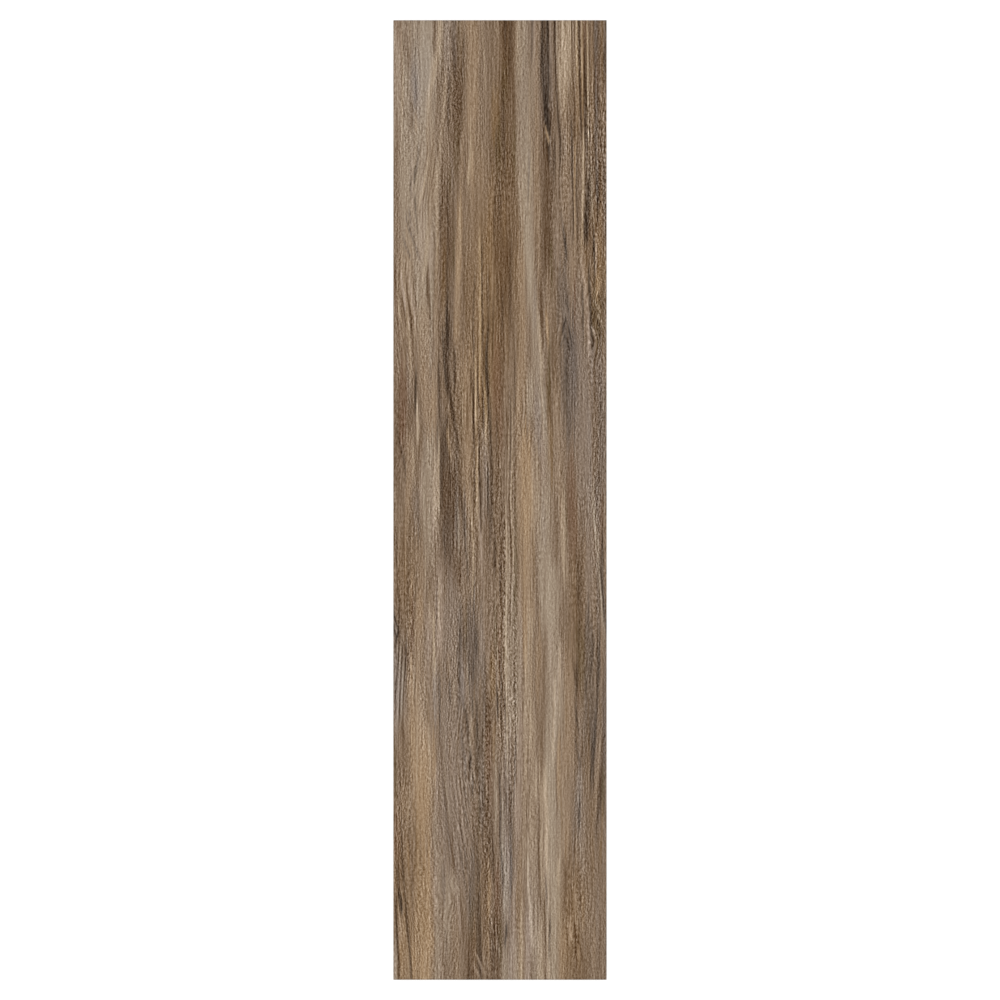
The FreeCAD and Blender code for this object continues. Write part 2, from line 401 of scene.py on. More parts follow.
    ("slate", 2.5, 0.6, [(54, 230), (54.5, 165)]),
    ("slate", 4.5, 0.7, [(59, 225), (60, 190), (61.5, 160), (62.5, 100)]),
    ("slate", 2.6, 0.6, [(62.5, 150), (63, 128)]),
    ("slate", 6, 0.4, [(66, 175), (67, 65)]),
    ("soot", 1.2, 0.6, [(62.5, 132), (63, 112)]),
    ("soot", 0.7, 0.8, [(61.5, 194), (62.5, 189), (63, 184)]),
    ("soot", 0.8, 0.85, [(61, 186), (62.5, 181), (64.5, 176)]),
    ("soot", 0.8, 0.9, [(61, 168), (59.3, 163), (58.5, 156)]),
    ("soot", 0.8, 0.9, [(61.5, 168), (64, 163), (66.5, 154), (67.5, 142)]),
    ("soot", 0.8, 0.9, [(60.5, 153), (58, 149), (56.3, 142)]),
    ("soot", 0.8, 0.9, [(61, 153), (63.5, 149), (64.7, 142)]),
    ("tan", 3.5, 0.7, [(68, 245), (69, 195)]),
    ("russet", 1.1, 0.9, [(70.5, 210), (70.5, 175), (71.5, 155)]),
    ("mauve", 3.2, 0.7, [(75, 210), (75, 120)]),
    ("soot", 0.9, 0.75, [(77.5, 200), (78.5, 150)]),
    ("pink", 1.6, 0.8, [(77, 228), (80, 200), (83, 165), (85.8, 128)]),
    ("ebony", 1.3, 0.9, [(82, 224), (84.5, 192), (85.6, 165), (88, 136)]),
    ("soot", 1.0, 0.9, [(87.5, 245), (88.5, 195)]),
    ("gold", 6.5, 0.85, [(92.5, 230), (92.5, 148)]),
    ("umber", 6, 0.45, [(91.5, 200), (91, 95)]),
    ("bark", 1.2, 0.6, [(96.8, 215), (97, 165)]),
    ("olive", 4, 0.7, [(90, 198), (91, 148)]),
    ("honey", 1.5, 0.8, [(92, 215), (92, 190)]),
    ("smoke", 1.3, 0.85, [(86.5, 155), (85.5, 95)]),
    ("cream", 0.9, 0.6, [(87, 162), (88.8, 154)]),
    ("mauve", 5, 0.7, [(93, 145), (93, 90)]),
    # Middle, left edge to the dark patch
    ("sand", 1.2, 0.85, [(-57.6, 66), (-57.4, -4)]),
    ("walnut", 3.5, 0.8, [(-76.5, 75), (-76, 36)]),
    ("russet", 5, 0.85, [(-92, 125), (-91, 90), (-92, 55)]),
    ("umber", 1.2, 0.6, [(-95.5, 120), (-95, 75)]),
    ("mauve", 2.4, 0.7, [(-85, 130), (-85, 90)]),
    ("umber", 3.5, 0.7, [(-84, 95), (-84, 60)]),
    ("ebony", 1.0, 0.9, [(-79, 118), (-79, 82)]),
    ("cream", 0.9, 0.85, [(-77, 88), (-77, 65), (-78, 45)]),
    ("umber", 0.7, 0.6, [(-75.5, 95), (-75.5, 60)]),
    ("tan", 5.5, 0.8, [(-69, 130), (-68, 70)]),
    ("honey", 2.5, 0.7, [(-62, 112), (-62, 62)]),
    ("bark", 1.1, 0.9, [(-57.5, 122), (-57, 95), (-56.5, 68)]),
    ("soot", 0.9, 0.7, [(-59, 74), (-59, 43)]),
    ("bark", 1.1, 0.85, [(-97.5, 66), (-94.5, 52), (-91, 40), (-88.5, 24)]),
    ("umber", 3, 0.55, [(-97, 55), (-96, 2)]),
    ("tan", 3.5, 0.8, [(-85, 60), (-86, 0), (-86, -20)]),
    ("sand", 0.9, 0.8, [(-81, 50), (-82, 10)]),
    ("walnut", 1.0, 0.7, [(-79, 52), (-78, 8)]),
    ("dove", 6, 0.62, [(-67, 72), (-68, 20), (-70, -25)]),
    ("mauve", 1.1, 0.7, [(-72, 72), (-71, 28)]),
    ("walnut", 0.7, 0.6, [(-68, 38), (-67.5, -10)]),
    ("pink", 1.0, 0.6, [(-74, 22), (-74, -12)]),
    ("cream", 2.4, 0.7, [(-60, 58), (-60.3, 30), (-60.5, -15)]),
    ("bark", 0.9, 0.85, [(-55.6, 70), (-55.8, 30), (-55.5, -16)]),
    ("umber", 3, 0.6, [(-98.5, 90), (-98.5, 5)]),
    # Middle, the dark patch and the forked tail of the ebony vein
    ("bark", 1.6, 0.85, [(-54.9, 78), (-55, 2)]),
    ("bark", 3.4, 0.8, [(-49, 76), (-48, 40)]),
    ("walnut", 4, 0.65, [(-36, 75), (-36.5, 2)]),
    ("umber", 1.5, 0.8, [(-38.7, 42), (-37, 0)]),
    ("umber", 3.4, 0.8, [(-52.5, 32), (-52.5, -14)]),
    ("walnut", 4, 0.7, [(-53, 118), (-52, 78)]),
    ("mauve", 2, 0.6, [(-54.5, 98), (-54.5, 66)]),
    ("bark", 1.6, 0.9, [(-50, 128), (-47.8, 105), (-45, 86), (-43, 72)]),
    ("bark", 1.6, 0.85, [(-46, 102), (-43.5, 85), (-41, 70), (-40, 50)]),
    ("umber", 1.4, 0.8, [(-41, 112), (-39, 90), (-37, 72)]),
    ("mauve", 0.9, 0.7, [(-46, 122), (-43, 100), (-40, 82)]),
    ("bark", 3.6, 0.82, [(-52, 78), (-52, 24)]),
    ("walnut", 1.7, 0.85, [(-47, 88), (-47, 55), (-46, 34)]),
    ("honey", 1.4, 0.8, [(-49.3, 66), (-48, 52), (-46.5, 36)]),
    ("bark", 1.8, 0.7, [(-40.5, 72), (-40.5, 45), (-41, 15)]),
    ("bark", 1.4, 0.7, [(-47.5, 44), (-47, 16)]),
    ("umber", 6, 0.8, [(-47, 35), (-46, -25)]),
    ("olive", 1.6, 0.6, [(-36, 112), (-36, 62)]),
    # Middle, tan field with fine lines and the brown centre
    ("umber", 2.5, 0.65, [(-3, 42), (-3, 0)]),
    ("tan", 3, 0.7, [(16.5, 70), (16.5, -30)]),
    ("tan", 5, 0.8, [(-33, 122), (-32, 5)]),
    ("bark", 0.7, 0.7, [(-28, 125), (-27, 96)]),
    ("bark", 0.9, 0.9, [(-25.3, 120), (-25.3, 90), (-25, 60), (-24.2, 25), (-24, -10)]),
    ("sand", 0.9, 0.8, [(-23, 126), (-23, 95), (-23.3, 68)]),
    ("cream", 0.9, 0.7, [(-22, 52), (-22, 5), (-22.2, -20)]),
    ("bark", 0.8, 0.85, [(-20.5, 126), (-20, 86)]),
    ("bark", 1.0, 0.85, [(-20, 68), (-19.5, 25), (-18.5, -20)]),
    ("honey", 0.8, 0.5, [(-18.3, 126), (-18, 92)]),
    ("bark", 0.9, 0.85, [(-15.5, 114), (-15.5, 60)]),
    ("sand", 1.0, 0.85, [(-14.5, 114), (-13, 80), (-14, 54)]),
    ("ebony", 1.6, 0.85, [(-11.5, 126), (-10.5, 95), (-9.5, 58)]),
    ("smoke", 1.6, 0.5, [(-14, 62), (-13.5, 35), (-14, -6)]),
    ("mauve", 1.2, 0.6, [(-17, 74), (-17, 42)]),
    ("bark", 1.8, 0.85, [(-9, 66), (-8.5, 30), (-8.5, -38)]),
    ("soot", 1.2, 0.8, [(-11.5, 28), (-11.5, -25)]),
    ("russet", 5, 0.75, [(-2, 140), (-2, 95), (-2, 50)]),
    ("bark", 0.8, 0.7, [(-3.5, 78), (-4, 40)]),
    ("umber", 1.0, 0.7, [(2, 118), (2.5, 80)]),
    ("umber", 1.3, 0.8, [(6, 84), (5.5, 46)]),
    ("walnut", 4, 0.7, [(-2, 66), (-2.5, -80)]),
    ("umber", 1.0, 0.6, [(-5, 34), (-4.5, -5)]),
    ("sand", 0.8, 0.6, [(7, 68), (7.5, 15)]),
    ("bark", 0.7, 0.8, [(8.5, 118), (9.5, 60), (9, 15)]),
    ("sand", 0.9, 0.65, [(10.5, 114), (11, 60), (11, 0), (11.5, -60)]),
    ("bark", 0.9, 0.75, [(13.5, 126), (13.5, 74)]),
    ("umber", 1.0, 0.7, [(13.5, 60), (13.5, 5)]),
    # Middle, sand field to the right edge
    ("tan", 3, 0.8, [(17, 128), (17, 55)]),
    ("honey", 7, 0.7, [(22, 78), (24, 30), (24, -25)]),
    ("dove", 3.5, 0.8, [(28, 128), (28, 76)]),
    ("walnut", 0.8, 0.5, [(30.5, 84), (30.5, 46)]),
    ("smoke", 2.4, 0.7, [(34.5, 108), (34, 75), (35, 50)]),
    ("smoke", 4, 0.6, [(34, 92), (36, 45)]),
    ("sand", 4, 0.5, [(33, 48), (33, -38)]),
    ("dove", 4, 0.5, [(44, 80), (47, -30)]),
    ("sand", 1.4, 0.7, [(39, 114), (39.8, 90), (41, 62)]),
    ("pink", 2, 0.7, [(41, 74), (41, 15)]),
    ("gold", 2.6, 0.85, [(45, 126), (46, 90), (48, 60), (48, 25)]),
    ("umber", 2.6, 0.7, [(45.5, 120), (46.5, 95), (48, 74)]),
    ("tan", 4, 0.7, [(53, 114), (54, 60), (54, -5)]),
    ("slate", 4.5, 0.65, [(63, 118), (63, 80), (64, 52)]),
    ("soot", 1.2, 0.5, [(61.5, 118), (62, 92)]),
    ("bark", 1.0, 0.5, [(65, 88), (64, 58)]),
    ("russet", 4.5, 0.75, [(66, 42), (66, 10), (67, -25)]),
    ("tan", 2.5, 0.6, [(56, 58), (57, -5)]),
    ("mauve", 7, 0.75, [(78, 134), (78, 60), (78, -15)]),
    ("smoke", 1.2, 0.6, [(81, 104), (82, 55)]),
    ("smoke", 1.5, 0.6, [(84, 64), (84, -5)]),
    ("walnut", 5.5, 0.6, [(91.5, 114), (91.5, 15)]),
    ("slate", 5, 0.5, [(96, 105), (96.5, 5)]),
    ("dove", 1.0, 0.4, [(97.5, 126), (97, 75), (98, 40)]),
    ("slate", 2.4, 0.7, [(91, 18), (92, -35)]),
    # Below the middle, left edge to the dark patch
    ("tan", 3, 0.55, [(-82, -38), (-82, -76)]),
    ("bark", 1.0, 0.8, [(-97.5, -26), (-97, -70)]),
    ("walnut", 9, 0.55, [(-87, -15), (-86, -60), (-85, -115)]),
    ("umber", 0.9, 0.7, [(-90.5, -40), (-92, -85)]),
    ("umber", 1.0, 0.7, [(-86, -55), (-86, -85), (-83, -120)]),
    ("umber", 0.9, 0.7, [(-96, -65), (-96, -100)]),
    ("bark", 1.0, 0.7, [(-95, -80), (-94.5, -125)]),
    ("tan", 1.0, 0.7, [(-88.5, -15), (-89, -75)]),
    ("honey", 1.2, 0.7, [(-83.5, -75), (-85, -125)]),
    ("tan", 1.0, 0.7, [(-79, -25), (-79, -65)]),
    ("honey", 3, 0.5, [(-75, -45), (-75, -120)]),
    ("slate", 2, 0.7, [(-77.5, 10), (-78, -40)]),
    ("mauve", 1.5, 0.7, [(-81, 20), (-81, -20)]),
    ("dove", 5, 0.45, [(-69, 0), (-66, -65)]),
    ("walnut", 3, 0.5, [(-74, 0), (-73, -50)]),
    ("walnut", 0.8, 0.7, [(-68.5, 8), (-69, -40)]),
    ("pink", 1.0, 0.7, [(-63, 0), (-62.5, -35)]),
    ("sand", 0.8, 0.7, [(-70, -46), (-71, -86)]),
    ("walnut", 0.9, 0.7, [(-66.5, -50), (-66.5, -100)]),
    ("pink", 3.5, 0.6, [(-58, -55), (-57, -130)]),
    ("cream", 0.9, 0.8, [(-57, -66), (-57.5, -112)]),
    ("slate", 0.8, 0.7, [(-59.5, -70), (-60, -115)]),
    ("sand", 1.4, 0.6, [(-66, -80), (-66, -125)]),
    # Below the middle, the dark patch and the streaky centre
    ("umber", 4, 0.55, [(-40, -36), (-40, -80)]),
    ("bark", 0.8, 0.5, [(3.7, -62), (3.7, -125)]),
    ("bark", 0.8, 0.4, [(12.6, -95), (13, -165)]),
    ("bark", 0.8, 0.35, [(15.6, -108), (15.6, -190)]),
    ("sand", 0.7, 0.6, [(8, -30), (8, -100)]),
    ("umber", 6.2, 0.6, [(-49.8, 5), (-49.3, -25), (-47, -72)]),
    ("soot", 5, 0.25, [(-50, -10), (-49, -35), (-47.5, -58)]),
    ("umber", 1.5, 0.6, [(-46, -10), (-45, -34)]),
    ("soot", 1.0, 0.6, [(-53.5, -25), (-51, -60)]),
    ("umber", 1.0, 0.7, [(-50, -58), (-51, -95)]),
    ("mauve", 6, 0.7, [(-44, -72), (-44, -150)]),
    ("slate", 2.4, 0.8, [(-41, 14), (-40, -35)]),
    ("dove", 0.9, 0.8, [(-39.5, -4), (-39, -46)]),
    ("bark", 0.9, 0.9, [(-38.5, 26), (-37, 5), (-35.5, -10), (-34, -26)]),
    ("slate", 2.5, 0.75, [(-33, 8), (-33, -35)]),
    ("umber", 1.1, 0.8, [(-37, -25), (-38, -76)]),
    ("soot", 1.1, 0.7, [(-33, -24), (-32, -50), (-30.5, -75)]),
    ("mauve", 1.0, 0.7, [(-35, -25), (-35, -75)]),
    ("dove", 0.8, 0.7, [(-30.5, -22), (-30, -55)]),
    ("umber", 1.0, 0.75, [(-28, -20), (-28, -76)]),
    ("sand", 1.2, 0.8, [(-28, 6), (-26.5, -34)]),
    ("sand", 1.0, 0.85, [(-25.5, -32), (-25.5, -88)]),
    ("umber", 0.9, 0.8, [(-22.5, -30), (-22.5, -86)]),
    ("smoke", 1.2, 0.6, [(-17, 4), (-15, -30)]),
    ("pink", 1.0, 0.8, [(-19.5, -20), (-18, -55), (-17, -82)]),
    ("umber", 0.9, 0.8, [(-14, -5), (-12.5, -50)]),
    ("umber", 0.9, 0.7, [(-10, -26), (-11, -76)]),
    ("bark", 1.3, 0.8, [(-4.5, -26), (-4.5, -70)]),
    ("walnut", 3, 0.5, [(-16, -70), (-15, -100)]),
    ("tan", 3.5, 0.55, [(0.5, -50), (2, -225)]),
    ("umber", 1.2, 0.85, [(1, 10), (1, -45), (1, -100)]),
    ("bark", 0.9, 0.8, [(0, -50), (0, -86)]),
    ("umber", 0.7, 0.8, [(4, 5), (4, -66)]),
    ("dove", 4.5, 0.65, [(9.5, -45), (10, -120), (10.5, -205)]),
    ("sand", 0.8, 0.7, [(5.5, 10), (6, -60), (6, -130), (6.5, -200), (6.5, -240)]),
    ("umber", 0.9, 0.8, [(9.5, 5), (9.5, -30), (9.5, -115)]),
    ("olive", 1.5, 0.75, [(14.5, 5), (14.5, -40), (14, -115)]),
    ("umber", 0.8, 0.6, [(16.5, -36), (16.5, -76)]),
    # Below the middle, honey field to the right edge
    ("umber", 2.5, 0.6, [(76.5, 0), (76.5, -75)]),
    ("tan", 2.5, 0.7, [(18.5, 10), (19, -135)]),
    ("pink", 1.4, 0.6, [(18.5, -76), (18.5, -215)]),
    ("walnut", 0.8, 0.7, [(21, -16), (21, -130)]),
    ("honey", 6.5, 0.72, [(25, 20), (25, -50), (25.5, -135)]),
    ("gold", 1.5, 0.7, [(32.5, -30), (32.5, -80)]),
    ("gold", 1.2, 0.6, [(29, -70), (29, -116)]),
    ("dove", 6, 0.6, [(40, 20), (42, -60), (46, -135)]),
    ("smoke", 2.5, 0.6, [(40, 0), (42, -46)]),
    ("walnut", 0.9, 0.6, [(47, 14), (48, -30)]),
    ("walnut", 1.0, 0.8, [(52, 5), (53, -30), (53.5, -70)]),
    ("sand", 2.6, 0.78, [(58.6, 10), (59.8, -30), (60.8, -72)]),
    ("olive", 0.9, 0.8, [(62, 14), (62.5, -40)]),
    ("russet", 4.5, 0.7, [(69, 14), (69, -60)]),
    ("walnut", 5, 0.6, [(69, -45), (69, -105)]),
    ("bark", 3.0, 0.75, [(73, -42), (74, -70), (74.5, -98)]),
    ("mauve", 3, 0.7, [(76, 14), (77, -45)]),
    ("gold", 1.6, 0.4, [(79.5, -35), (79.5, -65)]),
    ("mauve", 4, 0.8, [(83, 5), (84, -90)]),
    ("dove", 1.1, 0.9, [(86.5, 20), (88.5, -15), (91, -50), (94, -85), (97.5, -122)]),
    ("russet", 1.8, 0.7, [(95.5, 0), (95.5, -50)]),
    ("soot", 1.6, 0.8, [(96, -36), (96.5, -80)]),
    ("soot", 1.1, 0.85, [(93, -50), (95.5, -80), (98.5, -118)]),
    ("slate", 1.8, 0.7, [(90, -50), (92, -90), (93, -130)]),
    ("umber", 5, 0.5, [(75, -80), (75, -135)]),
    ("dove", 6, 0.6, [(50, -60), (50, -115)]),
    ("walnut", 2.5, 0.5, [(59, -90), (58, -130)]),
    # Lower part, the half knot at the left edge and its slanting lines
    ("bark", 0.8, 0.85, [(-93.2, -128), (-94.7, -146), (-96.2, -164), (-98, -186)]),
    ("bark", 0.8, 0.85, [(-90.4, -128), (-91.2, -148), (-93, -178), (-95, -214)]),
    ("ebony", 0.8, 1.0, [(-100, -104), (-98, -111.5), (-95, -120)]),
    ("ebony", 0.8, 1.0, [(-98.8, -118), (-98.2, -124), (-96.6, -131)]),
    ("ebony", 0.8, 1.0, [(-94.6, -119), (-95, -124), (-96.4, -131)]),
    ("smoke", 1.2, 0.8, [(-97.6, -113), (-96.8, -125)]),
    ("honey", 8, 0.6, [(-77, -150), (-77, -225)]),
    ("bark", 0.8, 0.9, [(-88, -122), (-88.2, -164)]),
    ("umber", 0.8, 0.85, [(-89.2, -170), (-90.4, -194), (-92.6, -228)]),
    ("dove", 0.8, 0.85, [(-91.8, -130), (-93, -152), (-94.6, -180), (-96, -208)]),
    ("slate", 1.8, 0.7, [(-98.5, -100), (-98.5, -145)]),
    ("umber", 1.2, 0.7, [(-93.5, -96), (-93, -130)]),
    ("walnut", 0.9, 0.6, [(-84, -115), (-86, -150), (-87, -180)]),
    ("dove", 0.8, 0.85, [(-89.2, -144), (-91, -178), (-92.6, -210)]),
    ("pink", 0.8, 0.7, [(-93, -155), (-95, -185), (-96, -210)]),
    ("smoke", 3, 0.65, [(-98, -138), (-97, -212)]),
    ("russet", 1.1, 0.9, [(-82.5, -90), (-83, -130), (-83.5, -150)]),
    ("tan", 5.5, 0.75, [(-76, -95), (-76, -165)]),
    ("walnut", 0.8, 0.7, [(-78, -145), (-79, -190)]),
    ("walnut", 0.8, 0.7, [(-72, -145), (-74, -185)]),
    ("sand", 0.9, 0.7, [(-80, -150), (-80, -180)]),
    ("tan", 4, 0.6, [(-66, -140), (-63, -260)]),
    ("tan", 9, 0.8, [(-78, -160), (-77, -225)]),
    ("honey", 9, 0.6, [(-76, -210), (-76, -265)]),
    ("tan", 5, 0.5, [(-90, -190), (-90, -260)]),
    ("pink", 2.2, 0.7, [(-67, -100), (-66.5, -155)]),
    ("sand", 1.2, 0.9, [(-62.5, -104), (-62, -160)]),
    ("gold", 1.2, 0.7, [(-68, -180), (-66, -210)]),
    ("pink", 1.6, 0.8, [(-57, -95), (-57, -145)]),
    # Lower part, the grey field and the brown centre
    ("dove", 0.9, 0.9, [(5.6, -105), (6.4, -235)]),
    ("soot", 0.8, 0.85, [(-38, -122), (-37.6, -142)]),
    ("soot", 0.8, 0.85, [(-32, -127), (-31.6, -140)]),
    ("soot", 0.8, 0.8, [(-38.5, -150), (-38, -172)]),
    ("soot", 0.7, 0.8, [(-47.5, -170), (-47.2, -190)]),
    ("soot", 0.7, 0.8, [(-29.5, -150), (-29.2, -175)]),
    ("soot", 0.7, 0.8, [(-22, -190), (-21.5, -222)]),
    ("umber", 0.7, 0.8, [(-33.5, -196), (-32, -222)]),
    ("dove", 0.7, 0.8, [(-43.5, -165), (-43, -190)]),
    ("dove", 0.7, 0.8, [(-31, -160), (-30.5, -190)]),
    ("smoke", 2.2, 0.9, [(-60.5, -145), (-60.5, -200)]),
    ("slate", 1.1, 0.85, [(-58.5, -144), (-57, -170), (-57, -195), (-56, -220)]),
    ("mauve", 6, 0.7, [(-49, -115), (-49, -245)]),
    ("umber", 0.8, 0.7, [(-50, -155), (-50, -190)]),
    ("slate", 1.0, 0.7, [(-46.5, -165), (-46.5, -195)]),
    ("tan", 1.5, 0.6, [(-48, -145), (-48, -170)]),
    ("slate", 2.5, 0.8, [(-37, -95), (-37, -150)]),
    ("bark", 0.9, 0.7, [(-34.5, -105), (-34, -150)]),
    ("olive", 1.4, 0.7, [(-32, -95), (-31.5, -145)]),
    ("slate", 3, 0.8, [(-38, -140), (-38, -200)]),
    ("smoke", 1.7, 0.9, [(-35.5, -155), (-35, -202)]),
    ("soot", 1.3, 0.8, [(-35, -188), (-32, -205), (-30.5, -226)]),
    ("slate", 6.5, 0.7, [(-25, -95), (-25, -195)]),
    ("slate", 5, 0.6, [(-19, -190), (-18, -258)]),
    ("soot", 0.9, 0.8, [(-25.5, -150), (-25, -178)]),
    ("soot", 0.8, 0.8, [(-26.5, -184), (-26, -205)]),
    ("soot", 1.4, 0.75, [(-22, -118), (-21, -145)]),
    ("slate", 2.0, 0.7, [(-18.5, -142), (-18, -165)]),
    ("mauve", 0.9, 0.8, [(-28, -155), (-28, -200), (-29.5, -230)]),
    ("smoke", 0.8, 0.7, [(-21.5, -150), (-20.5, -200)]),
    ("dove", 1.0, 0.8, [(-26, -190), (-28, -215), (-29, -240)]),
    ("smoke", 2, 0.8, [(-17, -95), (-16, -170)]),
    ("gold", 3.5, 0.85, [(-7.5, -140), (-7, -190)]),
    ("umber", 3, 0.85, [(-11.5, -170), (-11, -245)]),
    ("slate", 2.5, 0.7, [(-15.5, -155), (-16, -245)]),
    ("olive", 1.4, 0.8, [(-4, -90), (-3, -155)]),
    ("russet", 1.2, 0.8, [(0, -115), (0, -160)]),
    ("pink", 1.0, 0.7, [(-3.5, -150), (-2.5, -185)]),
    ("ebony", 0.8, 0.85, [(-3, -172), (-2, -204)]),
    ("bark", 1.0, 0.8, [(1, -145), (1.5, -185), (1.5, -220)]),
    ("bark", 0.8, 0.8, [(4.5, -180), (5, -216)]),
    ("umber", 1.4, 0.6, [(2.5, -90), (2.5, -170)]),
    ("umber", 0.8, 0.75, [(13.5, -115), (13.5, -175)]),
    ("bark", 0.8, 0.7, [(14, -170), (14.5, -205)]),
    # Lower part, sand field to the right edge
    ("umber", 2, 0.6, [(96, -115), (96, -188)]),
    ("soot", 0.7, 0.8, [(89.5, -116), (87.5, -138), (84.5, -165)]),
    ("soot", 0.7, 0.75, [(86.5, -128), (84, -152), (81.5, -178)]),
    ("soot", 0.7, 0.8, [(70, -190), (71.3, -208), (74.5, -222)]),
    ("dove", 3, 0.75, [(16, -105), (16, -225)]),
    ("sand", 4.5, 0.6, [(27, -110), (26, -245)]),
    ("gold", 1.4, 0.6, [(29, -130), (29.5, -190)]),
    ("gold", 3.5, 0.25, [(36, -105), (37, -170), (38, -240)]),
    ("honey", 3, 0.5, [(36, -115), (36, -180)]),
    ("walnut", 0.9, 0.8, [(41.5, -135), (41, -200), (39.5, -240)]),
    ("dove", 6, 0.55, [(49, -115), (50, -180), (49, -245)]),
    ("pink", 1.8, 0.55, [(47.5, -115), (48, -170)]),
    ("pink", 2, 0.7, [(56, -145), (54, -185)]),
    ("cream", 1.2, 0.75, [(50.5, -175), (50.5, -205), (50, -245)]),
    ("sand", 0.9, 0.8, [(55.5, -150), (55, -205)]),
    ("dove", 5, 0.5, [(57, -150), (58, -220)]),
    ("tan", 5, 0.75, [(64, -125), (64, -245)]),
    ("walnut", 1.2, 0.7, [(64, -104), (62.5, -155)]),
    ("gold", 1.3, 0.7, [(61.5, -184), (61.5, -214)]),
    ("umber", 3, 0.5, [(67, -104), (68, -135), (70, -165)]),
    ("bark", 0.8, 0.8, [(68, -148), (71, -176), (71.5, -205), (74, -222)]),
    ("olive", 4, 0.8, [(75, -112), (75.5, -150), (75.5, -180)]),
    ("bark", 1.3, 0.8, [(74, -108), (74, -150)]),
    ("bark", 1.5, 0.85, [(72.3, -150), (71.8, -184)]),
    ("russet", 1.2, 0.7, [(74, -174), (74, -205)]),
    ("mauve", 2.2, 0.8, [(75, -188), (75.5, -224)]),
    ("slate", 6, 0.75, [(84, -95), (84, -245)]),
    ("mauve", 0.9, 0.7, [(85, -135), (83, -190)]),
    ("soot", 1.0, 0.8, [(91, -110), (91.5, -150), (91.5, -185), (90, -205), (88, -240)]),
    ("soot", 0.9, 0.8, [(93, -120), (93, -170)]),
    ("tan", 1.0, 0.7, [(95, -104), (95, -180)]),
    ("gold", 1.6, 0.7, [(95, -185), (95, -245)]),
    ("slate", 1.2, 0.7, [(99, -90), (99, -140)]),
    ("slate", 3, 0.75, [(97.5, -145), (96, -250)]),
    # Low down, left edge and the honey field
    ("tan", 3, 0.65, [(-96, -262), (-96, -365)]),
    ("honey", 2, 0.75, [(-62, -222), (-62, -262)]),
    ("tan", 5, 0.6, [(-89, -262), (-89, -300)]),
    ("olive", 1.2, 0.8, [(-98, -226), (-98, -280)]),
    ("umber", 0.8, 0.7, [(-94, -240), (-94, -290)]),
    ("umber", 1.1, 0.8, [(-90.5, -210), (-91, -270)]),
    ("walnut", 3, 0.5, [(-87, -210), (-87, -285)]),
    ("honey", 9, 0.75, [(-73, -210), (-73, -325)]),
    ("sand", 1.0, 0.7, [(-77.5, -220), (-77.5, -270)]),
    ("sand", 0.9, 0.7, [(-66, -215), (-67, -250)]),
    ("sand", 1.0, 0.7, [(-66.5, -250), (-67, -280)]),
    ("gold", 1.0, 0.5, [(-72, -260), (-72, -305)]),
    ("gold", 0.9, 0.5, [(-80, -225), (-80, -265)]),
    ("sand", 2, 0.5, [(-86, -272), (-86, -300)]),
    ("mauve", 1.5, 0.7, [(-95.5, -258), (-95, -296)]),
    ("russet", 3, 0.8, [(-97, -280), (-97, -335)]),
    ("umber", 1.1, 0.8, [(-93, -296), (-91, -325), (-90, -355)]),
    ("umber", 1.1, 0.8, [(-89, -288), (-86, -312), (-83, -335), (-81, -365)]),
    ("walnut", 0.9, 0.7, [(-83, -276), (-82, -310), (-79, -350)]),
    ("honey", 1.0, 0.7, [(-87.5, -308), (-85, -350)]),
    ("gold", 4, 0.6, [(-77, -300), (-77, -365)]),
    ("walnut", 0.8, 0.7, [(-75, -316), (-74, -346)]),
    ("pink", 1.5, 0.7, [(-60, -246), (-59, -290)]),
    # Low down, the grey field with its curved sweep
    ("umber", 3, 0.55, [(-22, -290), (-22, -342)]),
    ("slate", 0.7, 0.8, [(-33, -255), (-30, -266), (-27.5, -276)]),
    ("slate", 0.7, 0.8, [(-33, -272), (-29, -284), (-25.5, -296)]),
    ("slate", 0.7, 0.8, [(-36, -285), (-31, -300), (-26, -318)]),
    ("slate", 0.7, 0.7, [(-42, -282), (-38, -302), (-34, -324), (-30, -340)]),
    ("umber", 0.7, 0.7, [(-31, -305), (-27, -318), (-23, -330)]),
    ("slate", 0.8, 0.7, [(-53, -262), (-51, -285), (-49, -310), (-46, -335)]),
    ("mauve", 18, 0.75, [(-42, -210), (-42, -355)]),
    ("dove", 2, 0.6, [(-60.5, -280), (-60, -340)]),
    ("umber", 1.1, 0.75,
     [(-57, -214), (-54.5, -235), (-51.5, -275), (-48, -305), (-46.5, -325), (-44, -350)]),
    ("walnut", 0.9, 0.7, [(-47.5, -214), (-46.5, -245), (-44, -275)]),
    ("dove", 0.9, 0.7, [(-52, -220), (-50.5, -260), (-47, -300)]),
    ("pink", 1.0, 0.6, [(-46, -220), (-43.5, -255), (-40, -290), (-37.5, -315)]),
    ("walnut", 0.9, 0.7, [(-40, -226), (-38, -260), (-36, -295)]),
    ("slate", 1.0, 0.8, [(-37, -210), (-34, -235), (-31, -260)]),
    ("umber", 1.0, 0.85, [(-39.5, -276), (-37.5, -303), (-34, -325), (-30.5, -355)]),
    ("pink", 0.9, 0.7, [(-38, -270), (-35, -305), (-31.5, -330)]),
    ("umber", 0.9, 0.7, [(-36.5, -270), (-35.5, -296)]),
    ("bark", 1.1, 0.85, [(-30, -214), (-29, -235), (-29, -260)]),
    ("smoke", 1.8, 0.8, [(-27, -236), (-27, -274)]),
    ("soot", 0.9, 0.8, [(-26, -256), (-26, -281)]),
    ("soot", 2.8, 0.6, [(-22, -212), (-22, -235), (-23, -268)]),
    ("ebony", 1.0, 0.85, [(-28.5, -234), (-27.8, -244), (-28.5, -252)]),
    ("slate", 3, 0.8, [(-18, -235), (-17, -305)]),
    # Low down, the brown centre and the grey lines
    ("russet", 2.5, 0.75, [(-10.5, -210), (-10, -250), (-10.5, -280)]),
    ("gold", 1.6, 0.8, [(-5.5, -205), (-6, -245)]),
